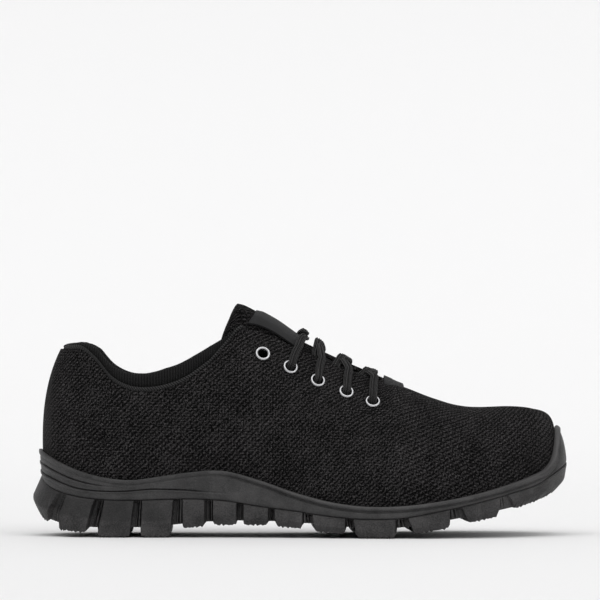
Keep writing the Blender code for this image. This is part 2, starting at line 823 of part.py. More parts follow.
def make_collar_lining(finish):
    """A padded roll over the collar's edge that tapers down inside the upper and to the front."""
    rows = []
    for c in collar_columns():
        left = (COLLAR_FRONT_RUN - RUNS[COLUMNS[c][0]]) / LINING_TAPER_RUN
        full = np.clip(left, LINING_TAPER_END, 1)
        top, normal = SKIN[c, -1], NORMALS[c, -1]
        out = unit(normal * [1, 1, 0])
        half = LINING_THICKNESS / 2 * full
        centre = top + UP * LINING_RISE * full - out * (WALL + GAP * 3 + half)
        row = []
        for turn in (0, 45, 90, 135):
            angle = math.radians(turn)
            row.append(centre + (out * math.cos(angle) + UP * math.sin(angle)) * half)
        for down in range(1, LINING_ROWS + 1):
            thick = half * 2 * (1 - 0.6 * (down - 1) / (LINING_ROWS - 1))
            row.append(SKIN[c, -1 - down] - NORMALS[c, -1 - down] * (WALL + GAP * 4 + thick))
        for down in range(LINING_ROWS, -1, -1):
            row.append(SKIN[c, -1 - down] - NORMALS[c, -1 - down] * (WALL + GAP * 4))
        rows.append(row)
    return solid_from_rows("collar_lining", rows, finish)


def make_collar_piping(finish):
    """A bead that stands on the collar's edge, outside the padded roll."""
    rows = []
    for c in collar_columns():
        top, normal = SKIN[c, -1], NORMALS[c, -1]
        out = unit(normal * [1, 1, 0])
        centre = top + UP * (PIPING_RADIUS + GAP) - out * (WALL * 0.25)
        row = []
        for turn in range(0, 360, 60):
            angle = math.radians(turn)
            row.append(centre + (out * math.cos(angle) + UP * math.sin(angle)) * PIPING_RADIUS)
        rows.append(row)
    return solid_from_rows("collar_piping", rows, finish)


# Tongue


def tongue_frame(share):
    """Centre of the tongue's front, its direction down the foot and out of the front."""

    def place(at):
        x = HEEL_X + LAST_LENGTH * TONGUE.at("along", at)
        return np.array([x, BALL_WIDTH * TONGUE_CENTRE, COLLAR_HEIGHT * TONGUE.at("height", at)])

    down = unit(place(min(share + 0.02, 1)) - place(max(share - 0.02, 0)))
    out = np.array([-down[2], 0.0, down[0]])
    return place(share), down, out


def tongue_point(share, degrees, depth):
    """A point on the tongue's arch, at a depth below its front."""
    centre, _, out = tongue_frame(share)
    radius = BALL_WIDTH * TONGUE.at("radius", share)
    angle = math.radians(degrees)
    hub = centre - out * radius
    spread = np.clip((abs(degrees) - WING_ANGLE) / (TONGUE.at("angle", share) - WING_ANGLE), 0, 1)
    hub = hub - out * (COLLAR_HEIGHT * TONGUE.at("wing", share) * spread**WING_CURVE)
    return hub + (out * math.cos(angle) + np.array([0, math.sin(angle), 0])) * (radius - depth)


def make_tongue(finish):
    rows = []
    for share in (0.0, 0.02, 0.06, 0.12, 0.20, 0.30, 0.40, 0.50, 0.62, 0.74, 0.84, 0.93, 1.0):
        half = TONGUE.at("angle", share)
        thick = TONGUE_THICKNESS * TONGUE.at("swell", share)
        front = [tongue_point(share, a, 0.0) for a in np.linspace(-half, half, 11)]
        edge_in = half - 6
        back = [tongue_point(share, a, thick) for a in np.linspace(edge_in, -edge_in, 7)]
        rows.append(front + back)
    return solid_from_rows("tongue", rows, finish)


def make_tongue_label(finish):
    rows = []
    for share in np.linspace(LABEL_START, LABEL_END, 5):
        angles = np.linspace(-LABEL_HALF_ANGLE, LABEL_HALF_ANGLE, 6)
        low = [tongue_point(share, a, -GAP * 1.5) for a in angles]
        high = [tongue_point(share, a, -GAP * 1.5 - LABEL_THICKNESS) for a in reversed(angles)]
        rows.append(low + high)
    return solid_from_rows("tongue_label", rows, finish)


def make_throat_tab(finish):
    """A small folded tab that lies on the vamp where the throat ends."""
    start = top_point(THROAT_BASE_RUN, 1)
    rows = []
    for share in np.linspace(0, 1, 5):
        x = start[0] + 0.001 + TAB_LENGTH * share
        ridge_run = np.interp(x, [top_point(r, 1)[0] for r in RUNS[-24:]], RUNS[-24:])
        base = top_point(ridge_run, 1)
        low = base + UP * (GAP * 1.5)
        half = TAB_WIDTH / 2 * (1 - 0.15 * share)
        row = []
        for across, up in ((-1, -0.0004), (0, 0), (1, -0.0004), (1, 0.8), (0, 1), (-1, 0.8)):
            rise = up * TAB_THICKNESS * (1.2 - 0.5 * share) if up > 0 else up
            row.append(low + np.array([0, across * half, rise]))
        rows.append(row)
    return solid_from_rows("throat_tab", rows, finish)


# Eyelets and laces


def eyelet_places():
    places = {}
    for side, word in ((-1, "lateral"), (1, "medial")):
        for number, (run, inset) in enumerate(EYELETS, 1):
            column = column_at(run, side)
            places[word, number] = skin_at(column, row_below_top(column, inset))
    return places


def across(normal):
    """Two directions in the plane that a direction stands on."""
    first = unit(np.cross(normal, [0.0, 1.0, 0.0]))
    return first, np.cross(normal, first)


def make_eyelet(name, point, normal, finish):
    """A ring with a rounded rim outside and a barrel through the wall."""
    first, second = across(normal)
    lift = GAP * 1.6
    barrel = EYELET_BORE + BARREL_WALL
    profile = [
        (EYELET_BORE, -WALL - GAP * 2),
        (barrel, -WALL - GAP * 2),
        (barrel, lift),
        (EYELET_RADIUS, lift),
        (EYELET_BORE, lift + EYELET_RIM),
    ]
    bm = bmesh.new()
    rings = []
    for turn in range(EYELET_SIDES):
        angle = 2 * math.pi * turn / EYELET_SIDES
        way = first * math.cos(angle) + second * math.sin(angle)
        rings.append(add_ring(bm, [point + way * r + normal * h for r, h in profile]))
    for k in range(EYELET_SIDES):
        add_faces_between(bm, rings[k], rings[(k + 1) % EYELET_SIDES])
    return add_object(name, bm, finish, 50.0)


def cut_eyelet_holes(upper, places):
    """Each hole clears its barrel by the gap."""
    bm = bmesh.new()
    reach = EYELET_BORE + BARREL_WALL + GAP
    for point, normal in places.values():
        first, second = across(normal)
        rings = []
        for depth in (-WALL * 2.5, WALL * 2.0):
            ring = []
            for turn in range(EYELET_SIDES):
                angle = 2 * math.pi * turn / EYELET_SIDES
                way = first * math.cos(angle) + second * math.sin(angle)
                ring.append(point + way * reach + normal * depth)
            rings.append(add_ring(bm, ring))
        add_faces_between(bm, *rings)
        bm.faces.new(rings[0])
        bm.faces.new(rings[1])
    cutter = add_object("eyelet_hole_cutter", bm, upper.data.materials[0])
    cutter.hide_render = True
    cutter.display_type = "WIRE"
    cut = upper.modifiers.new("eyelet holes", "BOOLEAN")
    cut.operation = "DIFFERENCE"
    cut.solver = "EXACT"
    cut.object = cutter


def lace_rows(route, normals):
    """Sections of a flat lace along a route, lying on the given directions."""
    rows = []
    for k, point in enumerate(route):
        ahead = route[min(k + 1, len(route) - 1)] - route[max(k - 1, 0)]
        along = unit(ahead)
        up = unit(normals[k] - along * (normals[k] @ along))
        side = np.cross(along, up)
        row = []
        for wide, tall in ((-1, 0), (-0.7, 1), (0.7, 1), (1, 0), (0.7, -1), (-0.7, -1)):
            row.append(point + side * wide * LACE_WIDTH / 2 + up * tall * LACE_THICKNESS / 2)
        rows.append(row)
    return rows


def over_tongue(x, y, lift):
    """A place above the tongue's front at a plan position, and the way up from it."""
    shares = np.linspace(0, 1, 60)
    along = [tongue_frame(share)[0][0] for share in shares]
    aim = x
    for _ in range(4):
        share = float(np.interp(aim, along, shares))
        centre, _, out = tongue_frame(share)
        radius = BALL_WIDTH * TONGUE.at("radius", share)
        turn = math.asin(np.clip((y - centre[1]) / (radius + lift), -0.95, 0.95))
        place = tongue_point(share, math.degrees(turn), -lift)
        aim += x - place[0]
    return place, unit(place - (centre - out * radius))


def strap_route(eyelet, side, edge_run, far_run, stop):
    """Places and ways up along one strap: up the upper, over its edge and over the tongue."""
    run, inset = EYELETS[eyelet - 1]
    lift = LACE_THICKNESS / 2 + LACE_LIFT
    route, ways = [], []
    start = inset - EYELET_RADIUS - GAP * 2
    for share in (0.0, 0.33, 0.67, 1.0):
        column = column_at(run + (edge_run - run) * (inset - start * (1 - share)) / inset, side)
        point, way = skin_at(column, row_below_top(column, start * (1 - share)))
        route.append(point + way * (lift + GAP))
        ways.append(way)
    edge = route[-1]
    gate, _ = skin_at(column_at(far_run, -side), UPPER_CELLS)
    inside = gate[1] + side * (WALL + GAP * 2)
    end, _ = over_tongue(gate[0], inside, lift)
    shares = np.linspace(0, 1, 9)[1:]
    line = [edge + (end - edge) * share for share in shares]
    under = [over_tongue(place[0], place[1], lift) for place in line]
    swell = [
        (below[2] - place[2]) / (4 * share * (1 - share))
        for share, place, (below, _) in zip(shares[:-1], line, under)
    ]
    rise = max(max(swell), 0)
    for share, place, (_, way) in zip(shares, line, under):
        if share <= stop:
            route.append(place + UP * rise * 4 * share * (1 - share))
            ways.append(unit(way + ways[3] * max(1 - share * 3, 0)))
    return route, ways


def make_laces(finish):
    """The crossings, from the top of the throat down: each is two straps joined."""
    for number, (eyelet, edge_run, far_run, stop) in enumerate(CROSSINGS, 1):
        straps = []
        for side, word in ((-1, "lateral"), (1, "medial")):
            rows = lace_rows(*strap_route(eyelet, side, edge_run, far_run, stop))
            straps.append(solid_from_rows(f"lace_cross_{number}_{word}", rows, finish))
        join(straps[0], straps[1], f"lace_cross_{number}")


def join(keep, other, name):
    """The other solid is fused into the first one, and goes."""
    fuse = keep.modifiers.new("fuse", "BOOLEAN")
    fuse.operation = "UNION"
    fuse.solver = "EXACT"
    fuse.object = other
    other.hide_render = True
    other.display_type = "WIRE"
    keep.name = name


def build():
    clear_scene()
    knit = material("knit", (0.013, 0.013, 0.014), 0.9)
    foam = material("midsole_foam", (0.035, 0.035, 0.037), 0.6)
    rubber = material("outsole_rubber", (0.03, 0.03, 0.032), 0.65)
    lining = material("collar_knit", (0.012, 0.012, 0.012), 0.95)
    footbed = material("footbed_cloth", (0.03, 0.03, 0.03), 0.95)
    label = material("label_cloth", (0.02, 0.02, 0.022), 0.7)
    steel = material("eyelet_metal", (0.62, 0.62, 0.64), 0.3, 1.0)
    lace = material("lace_cord", (0.02, 0.02, 0.021), 0.8)

    upper = make_upper(knit)
    make_midsole(foam)
    make_outsole(rubber)
    make_insole(footbed)
    make_tongue(knit)
    make_collar_lining(lining)
    make_collar_piping(lining)
    make_tongue_label(label)
    make_throat_tab(label)
    places = eyelet_places()
    for (word, number), (point, normal) in places.items():
        make_eyelet(f"eyelet_{word}_{number}", point, normal, steel)
    cut_eyelet_holes(upper, places)
    make_laces(lace)


build()
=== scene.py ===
# %% [markdown]
# # A knitted safety sneaker
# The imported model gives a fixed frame: every solid of the shoe, in metres, with the toe
# towards +X and the outer side towards -Y. This script dresses it. Every solid is modelled
# again from the same sizes, with a finer skin and a finish of its own.

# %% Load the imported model
import math

import bmesh
import bpy
import numpy as np
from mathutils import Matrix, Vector


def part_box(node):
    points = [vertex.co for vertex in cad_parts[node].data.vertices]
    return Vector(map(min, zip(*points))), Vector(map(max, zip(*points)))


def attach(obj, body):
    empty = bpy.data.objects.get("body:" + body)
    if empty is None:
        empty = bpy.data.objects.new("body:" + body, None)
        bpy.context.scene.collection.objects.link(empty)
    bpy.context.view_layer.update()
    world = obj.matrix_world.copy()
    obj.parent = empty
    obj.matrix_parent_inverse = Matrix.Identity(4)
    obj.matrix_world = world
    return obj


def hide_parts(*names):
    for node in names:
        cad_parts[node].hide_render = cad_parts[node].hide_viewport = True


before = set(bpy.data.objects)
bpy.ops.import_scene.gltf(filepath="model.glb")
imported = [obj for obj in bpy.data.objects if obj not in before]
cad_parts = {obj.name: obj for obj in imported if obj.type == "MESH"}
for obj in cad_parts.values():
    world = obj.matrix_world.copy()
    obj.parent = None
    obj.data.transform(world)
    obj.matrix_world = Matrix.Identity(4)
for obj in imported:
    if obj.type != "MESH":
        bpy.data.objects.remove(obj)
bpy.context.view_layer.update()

# %% [markdown]
# ## Camera
# The photograph is a side view from a long way off, so a long lens at the shoe's own height
# gives nearly parallel lines. The camera looks up a little, which keeps the shoe low.

# %% Camera
FRAME_WIDTH = 0.3348
FRAME_CENTRE_HEIGHT = 0.1310
LENS = 250.0
CAMERA_HEIGHT = 0.100

camera_data = bpy.data.cameras.new("camera")
camera_data.lens = LENS
camera = bpy.data.objects.new("camera", camera_data)
bpy.context.scene.collection.objects.link(camera)
distance = FRAME_WIDTH / camera_data.sensor_width * LENS
camera.location = (0.0, -distance, CAMERA_HEIGHT)
aim = Vector((0.0, 0.0, FRAME_CENTRE_HEIGHT)) - camera.location
camera.rotation_euler = aim.to_track_quat("-Z", "Y").to_euler()
bpy.context.scene.camera = camera
print("camera", round(distance, 3), "m away")

# %% [markdown]
# ## Named sizes and tables
# The shoe's form comes from the same named sizes as its solids. The foot outline is walked
# from the heel to the toe on both sides, and the share of that walk is called the run.
# Short tables say how each height and width changes with the run.

# %% Driving sizes
SOLE_LENGTH = 0.298
BALL_WIDTH = 0.094
HEEL_OVERHANG = 0.007
TOE_OVERHANG = 0.007
SIDE_OVERHANG = 0.005
WING_HEIGHT = 0.0367
COLLAR_HEIGHT = 0.1038
WALL = 0.0025
GAP = 0.0003
LAST_LENGTH = SOLE_LENGTH - HEEL_OVERHANG - TOE_OVERHANG
HEEL_X = -SOLE_LENGTH / 2 + HEEL_OVERHANG
COLLAR_FRONT_RUN = 0.436
THROAT_BASE_RUN = 0.650
UP = np.array([0.0, 0.0, 1.0])


# %% A table read by a smooth curve
def smooth_between(t, span, first, first_slope, last, last_slope):
    """A smooth curve from the first value to the last, with the given slopes at its ends."""
    return (
        (2 * t**3 - 3 * t**2 + 1) * first
        + (t**3 - 2 * t**2 + t) * span * first_slope
        + (3 * t**2 - 2 * t**3) * last
        + (t**3 - t**2) * span * last_slope
    )


class Table:
    """Rows of named columns, read between rows by a smooth curve."""

    def __init__(self, names, rows):
        values = np.array(rows, dtype=float)
        self.columns = dict(zip(names.split(), values.T))
        self.places = values[:, 0]

    def at(self, name, place):
        xs, ys = self.places, self.columns[name]
        slopes = np.gradient(ys, xs)
        i = np.clip(np.searchsorted(xs, place) - 1, 0, len(xs) - 2)
        span = xs[i + 1] - xs[i]
        t = (np.clip(place, xs[0], xs[-1]) - xs[i]) / span
        return smooth_between(t, span, ys[i], slopes[i], ys[i + 1], slopes[i + 1])


# %% Foot outline and sole heights
# Foot outline: shares of the last's length, and of the ball width
OUTLINE = Table(
    "along centre width",
    [
        (0.00, 0.000, 0.70),
        (0.10, 0.000, 0.70),
        (0.20, -0.005, 0.70),
        (0.30, -0.020, 0.69),
        (0.40, -0.040, 0.68),
        (0.50, -0.050, 0.74),
        (0.60, -0.045, 0.86),
        (0.70, -0.020, 0.97),
        (0.76, 0.000, 1.00),
        (0.84, 0.020, 0.97),
        (0.92, 0.045, 0.90),
        (1.00, 0.070, 0.82),
    ],
)
HEEL_ROUND = 0.135
HEEL_FULLNESS = 2.1
TOE_ROUND = 0.22
TOE_FULLNESS = 2.3

# Sole heights: shares of the wing height, from the floor
HEIGHTS = Table(
    "run feather parting seat recess bed",
    [
        (0.00, 1.310, 0.930, 0.570, 0.390, 0.765),
        (0.04, 1.250, 0.785, 0.480, 0.300, 0.755),
        (0.08, 1.125, 0.675, 0.385, 0.220, 0.745),
        (0.12, 0.992, 0.600, 0.340, 0.165, 0.738),
        (0.16, 0.899, 0.562, 0.327, 0.152, 0.730),
        (0.20, 0.861, 0.553, 0.327, 0.152, 0.725),
        (0.25, 0.910, 0.564, 0.327, 0.169, 0.719),
        (0.30, 0.975, 0.575, 0.341, 0.218, 0.708),
        (0.36, 1.000, 0.550, 0.354, 0.253, 0.681),
        (0.42, 0.864, 0.466, 0.343, 0.256, 0.627),
        (0.48, 0.678, 0.398, 0.311, 0.234, 0.545),
        (0.54, 0.540, 0.322, 0.262, 0.196, 0.452),
        (0.60, 0.474, 0.281, 0.223, 0.153, 0.387),
        (0.66, 0.485, 0.300, 0.234, 0.169, 0.381),
        (0.72, 0.550, 0.398, 0.327, 0.255, 0.431),
        (0.78, 0.654, 0.518, 0.431, 0.349, 0.518),
        (0.84, 0.790, 0.654, 0.540, 0.450, 0.627),
        (0.89, 0.916, 0.771, 0.632, 0.535, 0.708),
        (0.93, 1.040, 0.921, 0.725, 0.625, 0.800),
        (0.95, 1.170, 0.990, 0.765, 0.665, 0.845),
        (0.97, 1.420, 1.045, 0.800, 0.700, 0.885),
        (0.985, 1.590, 1.075, 0.825, 0.720, 0.915),
        (1.00, 1.650, 1.090, 0.850, 0.745, 0.940),
    ],
)

# Sole side: how far each edge stands out, in shares of the side overhang
SIDES = Table(
    "run rim core edge flare foot",
    [
        (0.00, 0.36, 0.15, 0.42, 1.38, 0.50),
        (0.06, 0.40, 0.10, 0.46, 1.20, 0.50),
        (0.12, 0.46, -0.35, 0.55, 0.85, 0.52),
        (0.24, 0.50, -0.40, 0.65, 0.78, 0.55),
        (0.36, 0.56, -0.40, 0.80, 0.92, 0.60),
        (0.50, 0.60, -0.40, 0.88, 1.00, 0.68),
        (0.64, 0.60, -0.35, 0.90, 1.00, 0.72),
        (0.72, 0.60, 0.00, 0.92, 1.02, 0.70),
        (0.78, 0.60, 0.30, 0.95, 1.05, 0.68),
        (0.88, 0.56, 0.40, 1.10, 1.18, 0.50),
        (0.94, 0.52, 0.45, 1.25, 1.22, 0.25),
        (1.00, 0.50, 0.50, 1.42, 1.15, 0.05),
    ],
)

# %% Midsole bands
# Steps that end the midsole's heel bands: place between the parting line and the feather line
HEEL_BANDS = Table(
    "run lower higher lower_depth higher_depth",
    [
        (0.00, 0.20, 0.56, 1.0, 1.0),
        (0.06, 0.33, 0.62, 1.0, 1.0),
        (0.12, 0.30, 0.59, 1.0, 1.0),
        (0.16, 0.36, 0.60, 1.0, 0.3),
        (0.18, 0.40, 0.62, 1.0, 0.0),
        (0.23, 0.47, 0.66, 1.0, 0.0),
        (0.28, 0.36, 0.62, 1.0, 0.0),
        (0.34, 0.24, 0.60, 0.3, 0.0),
        (0.37, 0.24, 0.60, 0.0, 0.0),
        (1.00, 0.24, 0.60, 0.0, 0.0),
    ],
)

# %% Top line of the upper
# Top line of the upper: place along the last, centre and half width in shares of the ball
# width, height in shares of the collar height, and the section's angles and handles
TOP = Table(
    "run along centre half height inner_lift crown splay low high",
    [
        (0.000, 0.030, 0.000, 0.000, 1.000, 0.000, 27, 6, 0.35, 0.33),
        (0.040, 0.037, 0.000, 0.106, 1.000, 0.000, 25, 6, 0.35, 0.33),
        (0.080, 0.053, 0.000, 0.186, 0.999, 0.000, 20, 5, 0.35, 0.34),
        (0.120, 0.077, 0.000, 0.239, 0.992, 0.000, 14, 5, 0.35, 0.35),
        (0.155, 0.104, 0.000, 0.277, 0.932, 0.000, 11, 6, 0.35, 0.35),
        (0.190, 0.136, 0.000, 0.304, 0.832, 0.000, 9, 6, 0.35, 0.35),
        (0.225, 0.173, 0.000, 0.323, 0.782, 0.000, 8, 6, 0.35, 0.35),
        (0.265, 0.215, 0.000, 0.330, 0.789, 0.000, 9, 6, 0.35, 0.35),
        (0.305, 0.257, 0.000, 0.321, 0.833, 0.000, 11, 6, 0.34, 0.34),
        (0.340, 0.294, 0.000, 0.305, 0.901, 0.000, 14, 5, 0.33, 0.33),
        (0.375, 0.327, 0.002, 0.282, 0.968, 0.000, 19, 5, 0.31, 0.32),
        (0.408, 0.358, 0.006, 0.252, 1.040, 0.006, 26, 5, 0.30, 0.32),
        (0.436, 0.386, 0.010, 0.222, 1.106, 0.015, 33, 5, 0.30, 0.32),
        (0.458, 0.418, 0.012, 0.206, 1.092, 0.030, 38, 5, 0.30, 0.32),
        (0.482, 0.453, 0.012, 0.195, 1.056, 0.043, 42, 5, 0.30, 0.32),
        (0.510, 0.500, 0.012, 0.180, 0.995, 0.050, 46, 5, 0.30, 0.32),
        (0.540, 0.544, 0.012, 0.166, 0.938, 0.050, 50, 5, 0.30, 0.32),
        (0.570, 0.588, 0.012, 0.150, 0.888, 0.045, 54, 5, 0.30, 0.33),
        (0.600, 0.629, 0.011, 0.126, 0.850, 0.035, 60, 5, 0.31, 0.34),
        (0.620, 0.653, 0.010, 0.100, 0.832, 0.025, 68, 5, 0.32, 0.36),
        (0.636, 0.672, 0.006, 0.058, 0.821, 0.012, 80, 5, 0.33, 0.38),
        (0.650, 0.680, 0.004, 0.000, 0.817, 0.000, 90, 5, 0.35, 0.40),
        (0.690, 0.711, 0.004, 0.000, 0.788, 0.000, 90, 5, 0.38, 0.41),
        (0.730, 0.752, 0.010, 0.000, 0.744, 0.000, 90, 5, 0.42, 0.42),
        (0.770, 0.792, 0.018, 0.000, 0.708, 0.000, 90, 4, 0.46, 0.43),
        (0.810, 0.824, 0.026, 0.000, 0.691, 0.000, 90, 4, 0.50, 0.44),
        (0.850, 0.852, 0.034, 0.000, 0.687, 0.000, 90, 4, 0.56, 0.46),
        (0.890, 0.876, 0.040, 0.000, 0.689, 0.000, 90, 4, 0.64, 0.48),
        (0.930, 0.895, 0.044, 0.000, 0.691, 0.000, 90, 3, 0.72, 0.50),
        (0.965, 0.908, 0.047, 0.000, 0.691, 0.000, 90, 3, 0.78, 0.50),
        (1.000, 0.917, 0.050, 0.000, 0.689, 0.000, 90, 4, 0.84, 0.52),
    ],
)

# %% Tongue, eyelets and lace crossings
# Tongue centreline: places and heights in shares of the last's length and the collar height,
# with the arch's radius in shares of the ball width, its half angle in degrees, and how far
# its wings hang beyond the arch in shares of the collar height
TONGUE = Table(
    "share along height radius angle swell wing",
    [
        (0.00, 0.379, 1.243, 0.190, 48, 0.70, 0.170),
        (0.04, 0.389, 1.236, 0.192, 50, 1.15, 0.165),
        (0.12, 0.4155, 1.200, 0.195, 56, 1.30, 0.140),
        (0.26, 0.458, 1.135, 0.200, 64, 1.15, 0.090),
        (0.40, 0.5035, 1.040, 0.203, 66, 0.95, 0.055),
        (0.50, 0.535, 0.978, 0.205, 68, 0.80, 0.045),
        (0.62, 0.570, 0.924, 0.205, 64, 0.70, 0.035),
        (0.74, 0.6056, 0.877, 0.205, 60, 0.65, 0.025),
        (0.84, 0.641, 0.829, 0.210, 54, 0.60, 0.012),
        (0.93, 0.676, 0.782, 0.220, 48, 0.55, 0.000),
        (1.00, 0.711, 0.736, 0.240, 42, 0.50, 0.000),
    ],
)
TONGUE_CENTRE = 0.014
WING_ANGLE = 34.0
WING_CURVE = 1.5
WING_LEAN = 0.25

# Eyelets, from the top of the throat down: run of the column, and how far below the edge
EYELETS = [
    (0.465, 0.0135),
    (0.500, 0.0150),
    (0.536, 0.0155),
    (0.574, 0.0165),
    (0.614, 0.0206),
]

# Lace crossings: eyelet, run where a strap comes over the throat's edge, run of the far edge
# where it ends, and the share of the way that it goes
CROSSINGS = [
    (2, 0.507, 0.527, 0.50),
    (3, 0.538, 0.530, 1.00),
    (4, 0.574, 0.557, 1.00),
    (5, 0.612, 0.592, 1.00),
]
print("tables:", len(TOP.places), "sections of the upper,", len(EYELETS), "eyelets a side")

# %% [markdown]
# ## Walking the foot outline
# The last's outline is a smooth egg. Both halves are walked in small steps, so that any run
# gives a place on the floor plan and the level direction out of it.

# %% Foot outline as a function of the run


def walk_outline(side, steps=2400):
    along = (1 - np.cos(np.linspace(0, math.pi, steps))) / 2
    ends = np.ones_like(along)
    for distance_in, reach, fullness in (
        (along, HEEL_ROUND, HEEL_FULLNESS),
        (1 - along, TOE_ROUND, TOE_FULLNESS),
    ):
        near = distance_in < reach
        ends[near] *= (1 - (1 - distance_in[near] / reach) ** fullness) ** (1 / fullness)
    centre = OUTLINE.at("centre", along) * BALL_WIDTH
    half = OUTLINE.at("width", along) * BALL_WIDTH / 2
    xs = HEEL_X + along * LAST_LENGTH
    ys = centre + side * half * ends
    walked = np.concatenate([[0], np.cumsum(np.hypot(np.diff(xs), np.diff(ys)))])
    return walked / walked[-1], xs, ys, walked[-1]


WALKS = {side: walk_outline(side) for side in (-1, 1)}


def unit(vectors):
    return vectors / np.linalg.norm(vectors, axis=-1, keepdims=True)


def outline_point(run, side):
    runs, xs, ys, _ = WALKS[side]
    return np.stack([np.interp(run, runs, xs), np.interp(run, runs, ys), run * 0], axis=-1)


def outward(run, side):
    """The level direction out of the foot outline."""
    reach = 0.004
    along = outline_point(np.minimum(run + reach, 1), side)
    along = along - outline_point(np.maximum(run - reach, 0), side)
    out = unit(np.stack([-side * along[..., 1], side * along[..., 0], run * 0], axis=-1))
    out[run < 0.002] = (-1.0, 0.0, 0.0)
    out[run > 0.998] = (1.0, 0.0, 0.0)
    return out


def height(name, run):
    return WING_HEIGHT * HEIGHTS.at(name, run)


def reach_out(name, run):
    return SIDE_OVERHANG * SIDES.at(name, run)


print("outline walks:", [round(WALKS[side][3], 4) for side in (-1, 1)], "m")

# %% [markdown]
# ## The upper's sections
# Each section of the upper is one smooth curve from the footbed to the top line, or to the
# ridge in front of the throat. Its two handles give the swell over the feather line and the
# roll over the instep.


# %% Sections of the upper
def top_point(run, side):
    x = HEEL_X + LAST_LENGTH * TOP.at("along", run)
    y = BALL_WIDTH * (TOP.at("centre", run) + side * np.maximum(TOP.at("half", run), 0))
    y = np.where(run >= THROAT_BASE_RUN, BALL_WIDTH * TOP.at("centre", run), y)
    z = COLLAR_HEIGHT * (TOP.at("height", run) + max(side, 0) * TOP.at("inner_lift", run))
    return np.stack([x, y, z], axis=-1)


# How far the cloth's edge lies under the padded collar's seam, by run, and how high the
# padding stands over that edge
SEAM_DROP = (
    (0.0, 0.235, 0.289, 0.333, 0.373, 0.408, 0.436),
    (0.0, 0.0, 0.0019, 0.0043, 0.0043, 0.0015, 0.0),
)
PADDING_RISE = (
    (0.0, 0.12, 0.155, 0.19, 0.235, 0.289, 0.333, 0.373, 0.408, 0.436),
    (0.0026, 0.0040, 0.0070, 0.0080, 0.0093, 0.0110, 0.0110, 0.0092, 0.0042, 0.0019),
)


def upper_surface(runs, side, shares):
    """Places on the outside of the upper, for each run and each share of the way up."""
    out = outward(runs, side)
    foot = outline_point(runs, side) + UP * (height("bed", runs) + GAP)[:, None]
    top = top_point(runs, side)
    chord = np.linalg.norm(top - foot, axis=-1, keepdims=True)
    splay = np.radians(TOP.at("splay", runs))[:, None]
    crown = np.radians(TOP.at("crown", runs))[:, None]
    ahead = top_point(np.minimum(runs + 0.01, 1), side) - top_point(runs - 0.01, side)
    ridge_fall = UP * (out[:, :1] * ahead[:, 2:] / np.maximum(ahead[:, :1], 1e-6))
    over_vamp = (runs >= THROAT_BASE_RUN)[:, None]
    fall = np.where(over_vamp, ridge_fall, -UP * np.cos(crown))
    lean = UP * np.cos(splay) + out * np.sin(splay)
    low = foot + TOP.at("low", runs)[:, None] * chord * lean
    high = top + TOP.at("high", runs)[:, None] * chord * (out * np.sin(crown) + fall)
    drop = np.interp(runs, *SEAM_DROP)[:, None] / chord
    t = shares[None, :, None] * (1 - drop[:, None])
    s = 1 - t
    a, b, c, d = (part[:, None, :] for part in (foot, low, high, top))
    return s**3 * a + 3 * s * s * t * b + 3 * s * t * t * c + t**3 * d


def grid_normals(points, side):
    """Directions out of a grid of places, from its changes along both ways."""
    along = np.gradient(points, axis=0)
    up = np.gradient(points, axis=1)
    return unit(np.cross(up, along)) * side


def skin_at(run, side, below):
    """Place and outward direction on the upper, a distance below its top line."""
    runs = np.array([run - 0.004, run, run + 0.004])
    shares = np.linspace(0, 1, 241)
    points = upper_surface(runs, side, shares)
    steps = np.linalg.norm(np.diff(points[1][::-1], axis=0), axis=1)
    down = np.concatenate([[0], np.cumsum(steps)])
    row = 240 - int(np.clip(np.searchsorted(down, below), 1, 238))
    return points[1, row], grid_normals(points, side)[1, row]


EYELET_PLACES = {
    (number, side): skin_at(run, side, inset)
    for number, (run, inset) in enumerate(EYELETS, 1)
    for side in (-1, 1)
}
for (number, side), (place, _) in EYELET_PLACES.items():
    solid_name = f"eyelet_{'lateral' if side < 0 else 'medial'}_{number}"
    middle = np.mean([tuple(corner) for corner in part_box(solid_name)], axis=0)
    print(solid_name, "is", np.round((place - middle) * 1000, 1), "mm from its solid's middle")

# %% [markdown]
# ## The lace
# One flat braided lace starts in the middle of the first crossing, goes to the second eyelet,
# crosses the throat down to the fifth pair, and comes back up to the same middle, where a
# short gap is left between its ends. The route is a list of places with the direction
# that the flat side faces, read as one smooth curve, and a rounded flat section follows it.

# %% Places over the tongue
TONGUE_THICKNESS = 0.0055


def tongue_frame(share):
    """Centre of the tongue's front, and the direction out of it."""

    def place(at):
        x = HEEL_X + LAST_LENGTH * TONGUE.at("along", at)
        return np.array([x, BALL_WIDTH * TONGUE_CENTRE, COLLAR_HEIGHT * TONGUE.at("height", at)])

    down = unit(place(min(share + 0.02, 1)) - place(max(share - 0.02, 0)))
    return place(share), np.array([-down[2], 0.0, down[0]])


def tongue_point(share, degrees, depth):
    centre, out = tongue_frame(share)
    radius = BALL_WIDTH * TONGUE.at("radius", share)
    angle = math.radians(degrees)
    way = out * math.cos(angle) + np.array([0.0, math.sin(angle), 0.0])
    spread = np.clip((abs(degrees) - WING_ANGLE) / (TONGUE.at("angle", share) - WING_ANGLE), 0, 1)
    drop = COLLAR_HEIGHT * TONGUE.at("wing", share) * spread**WING_CURVE
    back = np.array([drop * WING_LEAN, 0.0, 0.0])
    return centre - out * (radius + drop) - back + way * (radius - depth)


